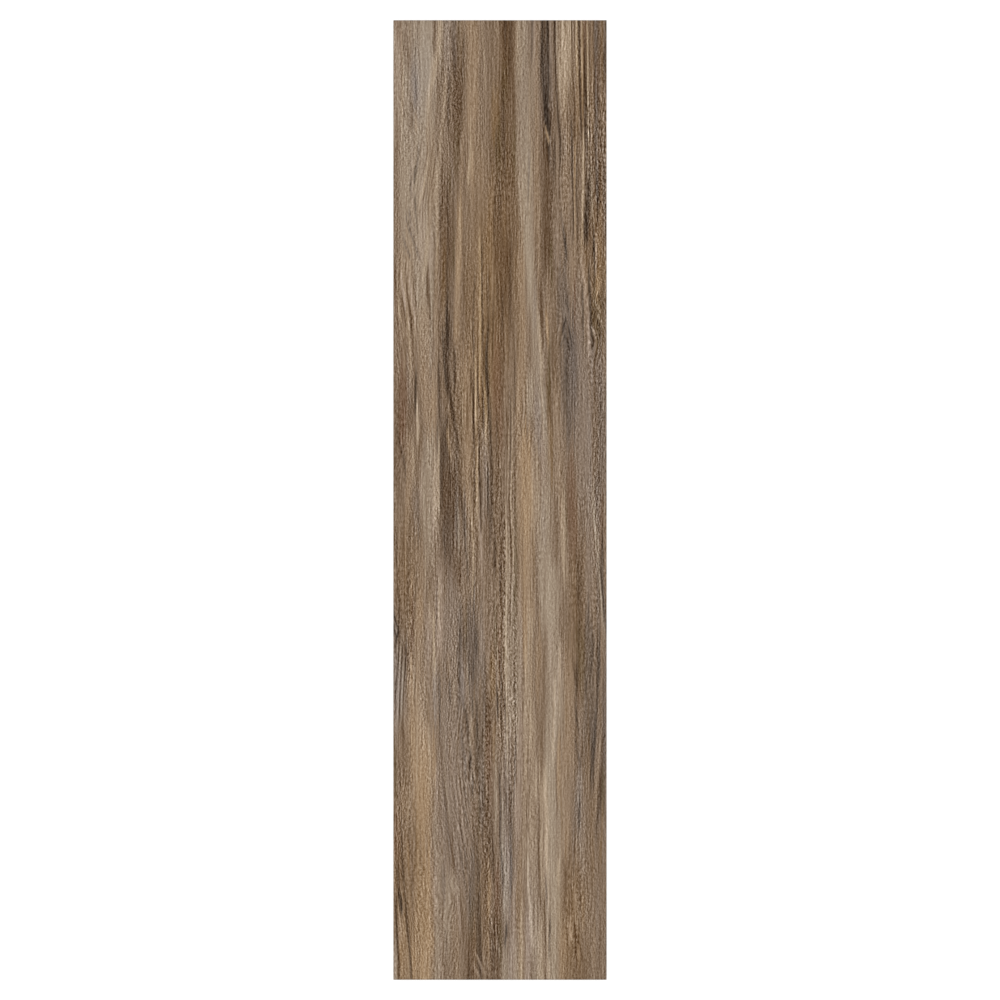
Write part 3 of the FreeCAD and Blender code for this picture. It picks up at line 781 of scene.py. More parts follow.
    ("dove", 0.9, 0.85, [(-3.5, -224), (-4, -260), (-4.5, -305)]),
    ("bark", 1.0, 0.6, [(-15, -256), (-14, -290), (-13, -315)]),
    ("bark", 1.3, 0.6, [(-10.5, -268), (-10, -300), (-11, -340)]),
    ("bark", 1.0, 0.8, [(-7, -300), (-7, -358)]),
    ("umber", 5, 0.5, [(-12, -280), (-12, -365)]),
    ("olive", 0.9, 0.7, [(-19.5, -276), (-19.5, -314)]),
    ("soot", 1.0, 0.85, [(-0.5, -246), (0, -280), (-0.5, -315)]),
    ("dove", 1.5, 0.8, [(2, -254), (2.5, -295), (2, -335)]),
    ("mauve", 4, 0.75, [(6, -210), (6, -275)]),
    ("umber", 1.0, 0.8, [(8, -264), (8.5, -285), (10, -304)]),
    ("slate", 2, 0.7, [(9, -270), (10, -314)]),
    ("slate", 1.0, 0.85, [(14.5, -220), (14, -260), (12.5, -280)]),
    ("pink", 1.5, 0.75, [(14, -260), (15, -315)]),
    ("slate", 1.8, 0.7, [(10, -300), (11, -355)]),
    ("pink", 0.9, 0.7, [(5.5, -310), (8, -355)]),
    ("pink", 3, 0.65, [(18, -210), (18.5, -260), (18, -315)]),
    # Low down, sand field to the right edge
    ("sand", 2.2, 0.75, [(42, -262), (43, -335)]),
    ("dove", 2.5, 0.7, [(56, -262), (56, -405)]),
    ("sand", 2, 0.6, [(23, -228), (23, -332)]),
    ("soot", 0.7, 0.85, [(70.3, -226), (72, -237), (75, -248)]),
    ("bark", 0.7, 0.75, [(77.5, -230), (76.3, -240), (75, -248)]),
    ("walnut", 0.9, 0.8, [(25.5, -240), (25.5, -295)]),
    ("sand", 4, 0.5, [(30, -205), (30.5, -270), (29, -355)]),
    ("cream", 0.9, 0.8, [(34.5, -246), (34, -295)]),
    ("cream", 1.0, 0.4, [(28.5, -300), (29.5, -350)]),
    ("walnut", 1.6, 0.6, [(38.5, -205), (38, -240)]),
    ("umber", 0.8, 0.85, [(36, -266), (36, -310), (36.5, -355)]),
    ("sand", 1.8, 0.75, [(38, -240), (38.5, -365)]),
    ("cream", 1.4, 0.6, [(41.5, -272), (42.5, -300), (43.5, -330)]),
    ("dove", 5, 0.85, [(47, -230), (48, -290), (48, -355)]),
    ("honey", 1.6, 0.8, [(55, -220), (55, -270)]),
    ("tan", 5, 0.75, [(61, -225), (61, -325)]),
    ("gold", 0.9, 0.7, [(56.5, -265), (58, -315)]),
    ("walnut", 0.9, 0.6, [(63, -240), (64, -295)]),
    ("slate", 2, 0.7, [(69.5, -285), (70, -340)]),
    ("umber", 1.1, 0.75, [(70, -308), (69.5, -345)]),
    ("umber", 0.9, 0.8, [(70.5, -210), (71.5, -235), (73.5, -260)]),
    ("mauve", 1.0, 0.8, [(73.5, -220), (75, -250)]),
    ("umber", 0.8, 0.7, [(76.5, -220), (75.5, -255)]),
    ("slate", 2.2, 0.85, [(74, -246), (73, -280), (74, -320)]),
    ("smoke", 1.8, 0.9, [(75, -241), (74, -265), (73, -295)]),
    ("soot", 0.9, 0.85, [(74.5, -274), (74.5, -309)]),
    ("walnut", 5, 0.6, [(83, -210), (83, -355)]),
    ("smoke", 7, 0.5, [(77, -270), (77, -350)]),
    ("tan", 6, 0.4, [(60, -250), (60, -330)]),
    ("soot", 1.4, 0.8, [(88, -210), (86.5, -240), (85, -260)]),
    ("gold", 1.8, 0.5, [(87, -270), (87, -345)]),
    ("tan", 1.4, 0.8, [(94, -220), (92, -255), (90, -290)]),
    ("umber", 1.3, 0.85, [(97, -210), (95.5, -245), (93, -275), (92, -305)]),
    ("bark", 1.6, 0.85, [(95, -262), (92.5, -290), (91, -322)]),
    ("olive", 1.6, 0.85, [(97, -250), (96, -310)]),
    ("gold", 1.2, 0.85, [(96, -296), (94, -350)]),
    # Bottom, left edge with its knot and the honey field
    ("gold", 4, 0.5, [(-72, -340), (-72, -408)]),
    ("honey", 2.5, 0.8, [(-81.5, -405), (-81.5, -475)]),
    ("honey", 2, 0.75, [(-95, -408), (-95, -475)]),
    ("umber", 3, 0.8, [(-94, -326), (-95, -370)]),
    ("bark", 1.1, 0.85, [(-92, -330), (-89.5, -360), (-88, -385), (-86.5, -405), (-84, -430), (-81, -475)]),
    ("ebony", 1.7, 1.0, [(-95, -364), (-93.2, -378), (-92, -390)]),
    ("bark", 1.0, 0.8, [(-97.5, -338), (-95, -366)]),
    ("pink", 1.6, 0.75, [(-95, -385), (-94, -415)]),
    ("bark", 1.2, 0.85, [(-98.5, -376), (-97, -410), (-95.5, -440), (-95, -475)]),
    ("gold", 1.5, 0.6, [(-85, -355), (-83, -405)]),
    ("walnut", 0.8, 0.7, [(-84, -350), (-82, -385), (-80, -415)]),
    ("walnut", 0.8, 0.6, [(-79, -330), (-77, -370)]),
    ("honey", 8.5, 0.8, [(-71, -330), (-71, -490)]),
    ("sand", 0.9, 0.6, [(-76, -335), (-75, -365)]),
    ("walnut", 0.8, 0.7, [(-76, -390), (-75.5, -440), (-75, -475)]),
    ("gold", 1.2, 0.5, [(-78, -355), (-77, -395)]),
    ("tan", 3.5, 0.7, [(-90, -400), (-89, -490)]),
    ("sand", 0.8, 0.6, [(-87, -420), (-84, -460)]),
    ("pink", 2.5, 0.5, [(-61, -330), (-60, -385)]),
    ("ash", 2.5, 0.8, [(-98.5, -420), (-98.5, -480)]),
    # Bottom, the end of the sweep and the dark vein
    ("umber", 3, 0.65, [(-23, -405), (-23, -475)]),
    ("dove", 3, 0.65, [(-59, -408), (-59, -475)]),
    ("dove", 3, 0.6, [(-57, -345), (-57, -440)]),
    ("dove", 0.8, 0.85, [(-48, -352), (-44.5, -362), (-41, -372)]),
    ("dove", 0.8, 0.8, [(-44, -350), (-41, -360), (-38.5, -370)]),
    ("pink", 0.8, 0.85, [(-23, -424), (-20, -430), (-16, -440)]),
    ("pink", 0.8, 0.8, [(-25, -436), (-22, -441), (-19, -447)]),
    ("tan", 0.8, 0.8, [(-13, -340), (-17, -352), (-20.5, -366)]),
    ("slate", 1.8, 0.7, [(-54, -346), (-54, -380)]),
    ("dove", 5, 0.55, [(-50, -350), (-49, -415)]),
    ("umber", 1.2, 0.8, [(-45, -330), (-42.5, -350), (-40, -365), (-37, -380), (-35, -395), (-33, -420)]),
    ("slate", 1.1, 0.8, [(-38, -326), (-35, -345), (-32, -365), (-30, -390)]),
    ("slate", 1.0, 0.8, [(-33, -330), (-30, -355), (-28, -380)]),
    ("pink", 1.2, 0.7, [(-43, -354), (-39.5, -380), (-37, -405)]),
    ("mauve", 1.0, 0.7, [(-35, -355), (-31, -395)]),
    ("slate", 3.5, 0.85, [(-26, -325), (-26, -405)]),
    ("soot", 2.8, 0.8, [(-20, -325), (-20, -370), (-19.5, -400), (-18.5, -430)]),
    ("bark", 1.6, 0.8, [(-20, -336), (-19.5, -380), (-18, -430), (-16.5, -475)]),
    ("olive", 2, 0.6, [(-27, -376), (-27, -415)]),
    ("tan", 4, 0.6, [(-42, -395), (-41, -490)]),
    ("slate", 0.9, 0.6, [(-52, -395), (-51, -430)]),
    ("umber", 0.8, 0.7, [(-43, -410), (-42.5, -445)]),
    ("pink", 1.4, 0.6, [(-56.5, -405), (-56.5, -455)]),
    ("umber", 4, 0.85, [(-29, -396), (-29, -490)]),
    ("bark", 0.9, 0.8, [(-29, -420), (-28.5, -475)]),
    # Bottom, the brown centre
    ("gold", 2.5, 0.6, [(-12, -350), (-12, -440)]),
    ("umber", 6, 0.5, [(-6, -385), (-6, -490)]),
    ("umber", 1.5, 0.8, [(-13, -340), (-14, -385), (-13.5, -425)]),
    ("honey", 1.6, 0.8, [(-10.5, -340), (-10, -365), (-11, -396)]),
    ("umber", 1.3, 0.8, [(-7, -320), (-6, -356)]),
    ("russet", 2.6, 0.9, [(-3.5, -340), (-3, -395)]),
    ("umber", 5, 0.4, [(-3, -350), (-3, -410)]),
    ("umber", 1.6, 0.75, [(-6, -376), (-4.5, -400), (-5, -425)]),
    ("olive", 1.4, 0.8, [(0, -390), (0, -440)]),
    ("bark", 1.2, 0.65, [(-7, -410), (-5.5, -446)]),
    ("mauve", 0.8, 0.7, [(-2.5, -412), (-1.5, -438)]),
    ("umber", 1.5, 0.75, [(-2, -428), (0, -460)]),
    ("honey", 0.8, 0.7, [(-11, -410), (-9.5, -445)]),
    # Bottom, grey lines to the right edge
    ("sand", 2, 0.7, [(42.5, -368), (43, -412)]),
    ("dove", 2.5, 0.7, [(16, -408), (16, -475)]),
    ("tan", 3, 0.6, [(62, -408), (62, -475)]),
    ("sand", 3, 0.55, [(20, -405), (20, -490)]),
    ("tan", 4, 0.7, [(60, -408), (60, -490)]),
    ("walnut", 0.8, 0.85, [(66, -418), (67.5, -446)]),
    ("tan", 0.8, 0.8, [(72.6, -421), (74.4, -446)]),
    ("dove", 3.0, 0.85, [(5.5, -325), (6, -365), (5, -388)]),
    ("slate", 1.3, 0.9, [(9, -320), (10, -345), (9.5, -375)]),
    ("smoke", 1.2, 0.8, [(9, -372), (9, -400)]),
    ("soot", 0.8, 0.8, [(1, -320), (2.5, -360)]),
    ("soot", 1.2, 0.95, [(6.2, -397), (6, -406), (4.8, -417)]),
    ("dove", 3, 0.8, [(5, -416), (5, -490)]),
    ("pink", 2.2, 0.6, [(13.5, -330), (13, -400), (12, -490)]),
    ("ash", 3, 0.5, [(11, -405), (11, -480)]),
    ("tan", 3.5, 0.75, [(20, -330), (20, -490)]),
    ("gold", 0.9, 0.7, [(16, -355), (16.5, -405)]),
    ("gold", 1.0, 0.6, [(19, -365), (18.5, -400), (18, -445)]),
    ("sand", 0.9, 0.8, [(20, -385), (20, -475)]),
    ("walnut", 0.9, 0.6, [(15, -390), (17, -445)]),
    ("cream", 1.3, 0.95, [(25.5, -330), (27.5, -365), (29, -385), (30.5, -425)]),
    ("pink", 2.6, 0.8, [(26.5, -390), (27, -490)]),
    ("sand", 2.5, 0.55, [(33, -325), (33, -405)]),
    ("walnut", 1.2, 0.8, [(37, -335), (38, -375), (40.5, -400)]),
    ("sand", 1.6, 0.75, [(40, -345), (41, -375), (43, -400)]),
    ("umber", 0.9, 0.9, [(41, -368), (42.5, -395), (43, -420)]),
    ("cream", 1.1, 0.95, [(43, -320), (44.5, -355), (45.5, -380)]),
    ("slate", 1.0, 0.85, [(43.5, -358), (44.5, -385), (43.5, -410)]),
    ("soot", 0.9, 0.85, [(47, -394), (46, -429)]),
    ("dove", 5, 0.8, [(51, -325), (50.5, -400), (50, -490)]),
    ("sand", 1.2, 0.7, [(55, -332), (55, -362)]),
    ("sand", 4, 0.8, [(37, -390), (38, -440), (38, -490)]),
    ("walnut", 0.7, 0.6, [(40, -400), (41, -445)]),
    ("cream", 1.0, 0.8, [(44, -390), (45, -430), (46, -470)]),
    ("tan", 3, 0.7, [(57, -375), (57, -490)]),
    ("umber", 1.5, 0.9, [(62.5, -330), (62, -365), (60.5, -395)]),
    ("umber", 1.1, 0.8, [(67, -355), (66, -395)]),
    ("pink", 1.4, 0.9, [(66, -394), (66.4, -406), (66.8, -416)]),
    ("umber", 0.9, 0.8, [(74.5, -341), (75.5, -380), (75, -400)]),
    ("walnut", 0.9, 0.7, [(78, -360), (80, -395), (83, -425)]),
    ("tan", 1.0, 0.7, [(77, -370), (78, -405)]),
    ("tan", 1.1, 0.6, [(79, -365), (79, -395)]),
    ("walnut", 7, 0.7, [(77, -412), (77, -490)]),
    ("umber", 0.9, 0.7, [(62.5, -425), (63, -445)]),
    ("umber", 0.8, 0.95, [(68.8, -398), (69.6, -410), (70.4, -430), (70.8, -458)]),
    ("umber", 0.9, 0.95, [(70.5, -408), (74.5, -420), (80, -438)]),
    ("walnut", 3.5, 0.7, [(64, -396), (64, -490)]),
    ("tan", 1.4, 0.6, [(89, -395), (88, -440)]),
    ("mauve", 1.5, 0.8, [(91, -365), (91.5, -420)]),
    ("umber", 1.0, 0.7, [(94, -395), (92, -446)]),
    ("walnut", 3, 0.6, [(93, -325), (93, -375)]),
    ("slate", 1.5, 0.6, [(99, -386), (99, -475)]),
    ("mauve", 5, 0.5, [(76, -370), (78, -420)]),
    ("dove", 4, 0.5, [(35, -405), (35, -480)]),
]

# Soft oval zones of the figure: each a strength, its middle, half width and half length in mm

# Where short hairs are drawn stronger or weaker than elsewhere
hair_zones = [
    (1.0, (93, 300), 10, 150),
    (0.9, (94, 130), 8, 60),
    (0.6, (92, -10), 8, 90),
    (0.5, (78, 380), 8, 90),
    (0.4, (64, 320), 8, 50),
    (0.5, (-48, 370), 10, 70),
    (0.8, (7, 310), 7, 60),
    (0.5, (5, 400), 7, 40),
    (0.5, (-18, -320), 16, 120),
    (0.4, (-38, -180), 16, 90),
    (0.4, (80, -405), 20, 40),
    (0.3, (-8, -400), 8, 50),
    (0.6, (0, -110), 18, 100),
    (0.4, (14, -190), 6, 60),
    (0.5, (-21, 30), 14, 80),
    (0.5, (-49, -15), 8, 60),
    (0.7, (-90, -135), 12, 50),
    (0.4, (-60, -230), 14, 60),
    (0.4, (-94, -310), 8, 40),
    (0.4, (-80, -390), 16, 70),
    (0.4, (-93, 390), 8, 80),
    (-0.25, (-24, 400), 10, 60),
    (-0.3, (24, 360), 12, 90),
    (-0.3, (-40, 180), 10, 60),
    (-0.3, (46, -240), 22, 200),
    (-0.2, (30, 180), 16, 90),
    (-0.35, (-71, 412), 8, 45),
]

# Where long lines are drawn stronger or weaker than elsewhere
line_zones = [
    (1.2, (77, 370), 12, 90),
    (0.5, (62, 360), 20, 110),
    (1.1, (-20, 70), 8, 80),
    (0.3, (6, -60), 9, 110),
    (0.5, (6, -240), 9, 120),
    (0.5, (-92, -190), 8, 60),
    (0.5, (-92, -410), 10, 60),
    (0.6, (-90, 180), 9, 50),
    (0.5, (-36, -310), 14, 60),
    (-0.2, (-64, 310), 12, 55),
    (-0.3, (50, -120), 24, 130),
    (-0.3, (24, 300), 14, 150),
    (-0.3, (-26, 400), 10, 60),
    (-0.3, (-40, 200), 6, 50),
    (-0.3, (78, 0), 10, 120),
    (-0.3, (-50, -400), 14, 50),
    (-0.5, (-26, -370), 12, 60),
]

# Curly patches, where the fibres break up into short flecks
fleck_zones = [
    (2.3, (-43, 370), 7, 45),
    (0.5, (-92, 380), 8, 90),
    (2.2, (92, 180), 6, 45),
    (1.2, (93, 90), 7, 50),
    (0.8, (93, 0), 7, 70),
    (0.9, (8, 300), 7, 45),
    (0.5, (58, 335), 5, 20),
    (0.6, (-8, -370), 8, 70),
    (0.6, (-48, -375), 12, 40),
    (0.5, (-72, -370), 12, 70),
    (0.6, (92, 400), 6, 60),
    (0.8, (9, -180), 11, 90),
    (0.4, (3, -80), 8, 70),
    (0.6, (-76, -160), 12, 40),
    (0.5, (-32, 50), 7, 50),
]

# Straight columns of open pores, seen as dark dashes: strength, place across, top and bottom in mm
pore_columns = [
    (0.8, -0.6, -15, -225),
    (1.2, 4.0, 5, -245),
    (0.8, 9.8, -30, -300),
    (1.0, 13.2, -45, -290),
    (0.8, 15.4, -60, -245),
    (0.5, 20.8, -75, -180),
]

# Where the grain leans: sideways mm for each mm down
leaning_zones = [
    (0.16, (-88, 140), 14, 80),
    (-0.14, (-68, 300), 10, 50),
    (0.6, (91, 205), 8, 13),
    (0.6, (92, 181), 8, 13),
    (0.6, (92, 157), 8, 13),
    (-0.45, (-44, 377), 9, 13),
    (-0.45, (-43, 353), 9, 13),
    (-0.35, (-11, -350), 8, 15),
    (-0.35, (-11, -380), 8, 15),
    (0.4, (-44, -364), 7, 16),
    (0.35, (-19, -435), 6, 13),
    (-0.2, (57, 158), 5, 18),
    (0.2, (66, 158), 5, 18),
    (0.14, (-86, 245), 9, 35),
    (-0.08, (-90, -170), 10, 50),
    (0.13, (-88, -385), 14, 80),
    (0.17, (-40, -310), 22, 90),
    (0.10, (94, -70), 10, 60),
    (-0.08, (90, -220), 12, 60),
    (0.05, (40, 110), 14, 90),
    (-0.10, (-64, 385), 8, 50),
]

# Where the wood is a warmer brown, or a cooler grey if the strength is negative
warm_zones = [
    (0.06, (5, 425), 8, 40),
    (0.10, (81, 230), 5, 40),
    (0.08, (-24, 10), 4, 50),
    (0.07, (84, -170), 6, 60),
    (-0.07, (-70, 400), 8, 50),
    (-0.06, (-41, 195), 5, 40),
    (-0.05, (55, 55), 8, 40),
    (-0.06, (28, -80), 5, 60),
    (-0.08, (98, 180), 4, 40),
    (-0.06, (-90, -180), 6, 30),
    (-0.06, (-35, -170), 5, 30),
    (0.16, (-12, 190), 20, 110),
    (0.08, (-16, 90), 10, 60),
    (0.04, (8, 380), 12, 80),
    (0.07, (10, 270), 10, 70),
    (0.10, (76, 400), 6, 60),
    (0.10, (91, 250), 5, 40),
    (0.10, (-52, 210), 4, 40),
    (0.07, (-93, -70), 8, 50),
    (0.11, (-91, -390), 12, 100),
    (0.08, (-43, 90), 4, 35),
    (-0.10, (-14, 40), 4, 40),
    (-0.05, (62, -290), 8, 50),
    (-0.06, (30, -390), 8, 60),
    (-0.05, (-64, 115), 6, 40),
    (-0.06, (39, 90), 4, 40),
    (0.13, (68, -390), 12, 70),
    (0.08, (-21, -220), 7, 50),
    (0.10, (-21, -400), 6, 60),
    (0.08, (72, -90), 6, 70),
    (0.05, (62, 100), 5, 50),
    (-0.06, (92, 60), 9, 90),
    (-0.12, (97, -250), 5, 80),
    (-0.08, (69, 130), 5, 60),
    (-0.12, (-73, -190), 9, 50),
    (-0.09, (-97, -170), 6, 50),
    (-0.11, (6, -330), 6, 90),
    (-0.08, (-80, 385), 4, 30),
    (-0.10, (42, 385), 6, 40),
    (-0.08, (-48, -20), 8, 60),
]

eye_weights = np.array([0.2126, 0.7152, 0.0722])  # share of red, green and blue in lightness


def smooth_step(share):
    """A share from 0 to 1 eased at both ends: 3 s squared less 2 s cubed."""
    share = np.clip(share, 0, 1)
    return share * share * (3 - 2 * share)


def step_noise(across, along, seed):
    """Smooth random values from -1 to 1: a seeded value at each whole step both ways, eased in between."""
    period = 256
    lattice = np.random.default_rng(seed).uniform(-1, 1, (period, period))
    column, row = np.floor(across).astype(int), np.floor(along).astype(int)
    right, up = smooth_step(across - column), smooth_step(along - row)
    left_column, right_column = column % period, (column + 1) % period
    low_row, high_row = row % period, (row + 1) % period
    low = lattice[low_row, left_column] * (1 - right) + lattice[low_row, right_column] * right
    high = lattice[high_row, left_column] * (1 - right) + lattice[high_row, right_column] * right
    return low * (1 - up) + high * up


def grain_noise(across, along, *layers):
    """The sum of layers of noise, each stretched to its own width and length and times its strength."""
    total = np.zeros_like(across)
    for strength, width, length, seed in layers:
        total += strength * step_noise(across / width, along / length, seed)
    return total


def patch_cover(across, along, x, y, half_width, half_length):
    """A soft oval patch, from 1 in its middle to 0: exp(-(distance in half sizes) squared)."""
    return np.exp(-((across - x) / half_width) ** 2 - ((along - y) / half_length) ** 2)


def zone_field(across, along, zones):
    """The sum of soft oval zones, each its strength times its cover."""
    field = np.zeros_like(across)
    for strength, middle, half_width, half_length in zones:
        field += strength * patch_cover(across, along, *middle, half_width, half_length)
    return field


def strength_field(across, along, zones, strips):
    """How strong a kind of fibre is drawn.

    A calm level and the zones are added, held above the least, and scaled by noise for busy strips.
    """
    calm, least = 0.9, 0.2
    level = np.maximum(least, calm + zone_field(across, along, zones))
    return level * (1 + grain_noise(across, along, strips))


def pore_field(across, along):
    """How strong pores are drawn: columns with eased ends.

    Each column falls off to both sides as exp(-(distance / half width) squared).
    """
    half_width, fade = 1.1, 30.0  # mm
    field = np.zeros_like(across)
    for strength, x, top, bottom in pore_columns:
        run = smooth_step((top - along) / fade) * smooth_step((along - bottom) / fade)
        field += strength * run * np.exp(-((across - x) / half_width) ** 2)
    return field


def grain_position(across, along):
    """Place across the grain in mm: the place across the slab, carried sideways where the grain leans.

    Each zone adds its lean times the height over its middle, times its cover.
    """
    place = across.copy()
    for lean, (x, y), half_width, half_length in leaning_zones:
        place += lean * (along - y) * patch_cover(across, along, x, y, half_width, half_length)
    return place + grain_noise(across, along, slow_wander)


def fibre_position(across, along):
    """Place along the grain in mm, shifted by noise, as each fibre ends at its own height."""
    return along + grain_noise(across, along, coarse_shift, fine_shift)


def streak_cover(across, along, ragged, half_width, path):
    """How far one streak covers each point, from 0 to 1.

    Its middle runs through the path's points. It fades in and out about its two ends, which are ragged as
    each fibre ends at its own height, and it narrows there. Across it, the cover falls off as
    exp(-(distance / half width) ** edge_power), with a steeper edge on broad streaks.
    """
    narrow, wide = 1.0, 5.0  # half widths in mm
    soft_edge, steep_edge = 2.2, 4.0  # edge powers of a narrow and a wide streak
    longest_fade, longest_fray = 18.0, 40.0  # mm
    fade_share, fray_share = 0.25, 0.3  # of the streak's length, where it is short
    end_width = 0.5  # share of the width that is left at the ends
    edge_power = np.interp(half_width, (narrow, wide), (soft_edge, steep_edge))
    path_across, path_along = np.array(path, float)[::-1].T
    middle = np.interp(along, path_along, path_across)
    bottom, top = path_along[0], path_along[-1]
    fade = min(longest_fade, fade_share * (top - bottom))
    height = along + min(longest_fray, fray_share * (top - bottom)) * ragged
    run = smooth_step((height - bottom + fade) / (2 * fade)) * smooth_step((top + fade - height) / (2 * fade))
    width = half_width * (end_width + (1 - end_width) * run)
    return run * np.exp(-(np.abs(across - middle) / width) ** edge_power)


def painted_print(across, along):
    """Ink colours at each point: the streaks painted over the ground, widest first.

    Their edges fray along the fibres. A thin line's strength is squared, so that few lines stand out, and a
    broad streak's is taken as it is. Thin lines are scaled once more where long lines are strong or weak.
    Then light and dark are spread about the ground, as (lightness / ground's) ** (contrast - 1), and last
    each zone's warmth scales red up and blue down.
    """
    ground = inks["oak"]
    thin, broad = 1.4, 6.0  # half widths in mm
    cover_widths, cover_shares = (thin, 2.0, 4.0, broad), (1, 0.88, 0.88, 1.1)  # less ink at medium widths
    thin_power, broad_power = 2, 1
    fray, grain_depth, line_depth = 1.5, 0.25, 0.5
    contrast = 1.16
    warm_step = np.array([0.6, 0.08, -1.0])  # of red, green and blue
    wander = grain_noise(across, along, slow_wander, quick_wander)
    fibres = grain_noise(across, along, long_fray, short_fray)
    ragged = grain_noise(across, along, fibre_ends)
    line_strength = 1 + line_depth * zone_field(across, along, line_zones)
    tone = np.tile(ground, across.shape + (1,))
    for ink, half_width, strength, path in sorted(streaks, key=lambda streak: -streak[1]):
        cover = streak_cover(across + wander, along, ragged, half_width, path)
        cover = np.clip(cover + fray * fibres * cover * (1 - cover), 0, 1)
        power = np.interp(half_width, (thin, broad), (thin_power, broad_power))
        cover *= strength ** power * (1 + grain_depth * fibres)
        cover *= np.interp(half_width, cover_widths, cover_shares)
        cover = np.clip(cover, 0, 1)
        if half_width < thin:
            cover = np.clip(cover * line_strength, 0, 1)
        tone += cover[..., None] * (inks[ink] - tone)
    lightness = tone @ eye_weights / (ground @ eye_weights)
    tone *= lightness[..., None] ** (contrast - 1)
    return tone * (1 + zone_field(across, along, warm_zones)[..., None] * warm_step)


def face_relief(across, along, tone):
    """How deep the moulded grain lies under the face plane, in mm.

    Fibre lines and darker streaks lie deeper, and the relief runs out to nothing at the arris.
    """
    pale = 0.3  # lightness from which ink lies on the face plane
    streak_share, line_level = 0.45, 0.5
    margin = 3.0  # mm from the arris
    streak = smooth_step(1 - tone @ eye_weights / pale)
    lines = line_level + grain_noise(grain_position(across, along), along, relief_lines, relief_hairs)
    inside = np.minimum(across.max() - np.abs(across), along.max() - np.abs(along)) / margin
    return relief_depth * (streak_share * streak + (1 - streak_share) * lines) * smooth_step(inside)


def face_row_places(edge):
    """Places of the face's rows along the tile, closer where the grain curls or knots.

    The density of rows is 1 and a soft hump at each such place; rows stand at equal steps of its running sum.
    """
    closer, fine_count = 1.6, 4001
    fine_steps = np.linspace(-edge, edge, fine_count)
    density = np.ones_like(fine_steps)
    for middle, reach in row_humps:
        density += closer * np.exp(-((fine_steps - middle) / reach) ** 2)
    passed = np.cumsum(density) - density[0]
    return np.interp(np.linspace(0, passed[-1], face_rows), passed, fine_steps)


# The slab's surface

def lattice_row(slab_side):
    """Pockets along one side of the back: their middles, and the mouth that fills the row exactly."""
    span = slab_side - 2 * rim_width
    count = max(1, round((span + rib_width) / (pocket_size + rib_width)))
    pitch = (span + rib_width) / count
    return pitch * (np.arange(count) - (count - 1) / 2), pitch - rib_width


def pocket_lines(slab_side):
    """Grid lines along one side of the back and the pocket's share of its depth at each line.

    Each pocket has a line at both lips, with share 0, and one at both ends of its floor, with share 1;
    the back's own edges, inside the arris, come first and last with share 0.
    """
    middles, mouth = lattice_row(slab_side)
    wall_run = pocket_depth * math.tan(math.radians(pocket_draft))
    steps = np.array([-mouth / 2, wall_run - mouth / 2, mouth / 2 - wall_run, mouth / 2])
    shares = np.tile([0.0, 1.0, 1.0, 0.0], len(middles))
    edge = slab_side / 2 - back_arris
    lines = np.concatenate([[-edge], (middles[:, None] + steps).ravel(), [edge]])
    return lines, np.concatenate([[0.0], shares, [0.0]])


def face_sheet():
    """The printed face as a grid: its points in mm and their ink colours."""
    face_x = np.linspace(-1, 1, face_columns) * (slab_half_width - face_arris)
    face_y = face_row_places(slab_half_length - face_arris)
    across, along = np.meshgrid(face_x, face_y)
    tone = painted_print(across, along)
    height = thickness - face_relief(across, along, tone)
    return np.stack([across, along, height], axis=-1).reshape(-1, 3), tone.reshape(-1, 3)


def back_sheet():
    """The back as a grid with its pockets: its points in mm, and how many columns and rows it has."""
    back_x, share_x = pocket_lines(2 * slab_half_width)
    back_y, share_y = pocket_lines(2 * slab_half_length)
    across, along = np.meshgrid(back_x, back_y)
    height = pocket_depth * np.minimum(*np.meshgrid(share_x, share_y))
    return np.stack([across, along, height], axis=-1).reshape(-1, 3), (len(back_x), len(back_y))


def border(columns, rows):
    """Indices of a grid's outer points, once round from its lowest corner, turning left at each corner."""
    index = np.arange(columns * rows).reshape(rows, columns)
    return np.concatenate([index[0, :-1], index[:-1, -1], index[-1, :0:-1], index[:0:-1, 0]])


def pushed_out(ring, amount):
    """A ring of points moved outwards by an amount, in each coordinate that lies on the ring's own edge."""
    nearly = 1e-6
    edge = ring.max(axis=0)
    return ring + amount * np.sign(ring) * (np.abs(ring) > edge - nearly)


def round_ring(ring):
    """Share of the way round a closed ring at each point, with the start again at the end, from 0 to 1."""
    digits = 9
    steps = np.linalg.norm(np.roll(ring, -1, axis=0) - ring, axis=1)
    return np.round(np.concatenate([[0], np.cumsum(steps)]) / steps.sum(), digits)


def joined_rings(upper, lower, upper_share, lower_share):
    """Triangles between two closed rings with different numbers of points, and the share at each corner.

    Both rings are walked together: each step of one makes a triangle with the point that the other has
    reached. The share of the way round comes with each corner, so that the triangles can be unrolled.
    """
    upper_step, lower_step = np.arange(len(upper)), np.arange(len(lower))
    reached_below = np.searchsorted(lower_share[1:], upper_share[1:], side="left")
    reached_above = np.searchsorted(upper_share[1:], lower_share[1:], side="right")
    above, below = np.append(upper, upper[0]), np.append(lower, lower[0])
    faces = np.concatenate([
        np.stack([below[reached_below], above[upper_step + 1], above[upper_step]], axis=1),
        np.stack([below[lower_step], below[lower_step + 1], above[reached_above]], axis=1),
    ])
    shares = np.concatenate([
        np.stack([lower_share[reached_below], upper_share[upper_step + 1], upper_share[upper_step]], axis=1),
        np.stack([lower_share[lower_step], lower_share[lower_step + 1], upper_share[reached_above]], axis=1),
    ])
    return faces, shares


def ring_strip(upper, lower, share):
    """Quads between two closed rings of as many points, and the share of the way round at each corner."""
    step = np.arange(len(upper))
    above, below = np.append(upper, upper[0]), np.append(lower, lower[0])
    faces = np.stack([below[step], below[step + 1], above[step + 1], above[step]], axis=1)
    return faces, np.stack([share[step], share[step + 1], share[step + 1], share[step]], axis=1)


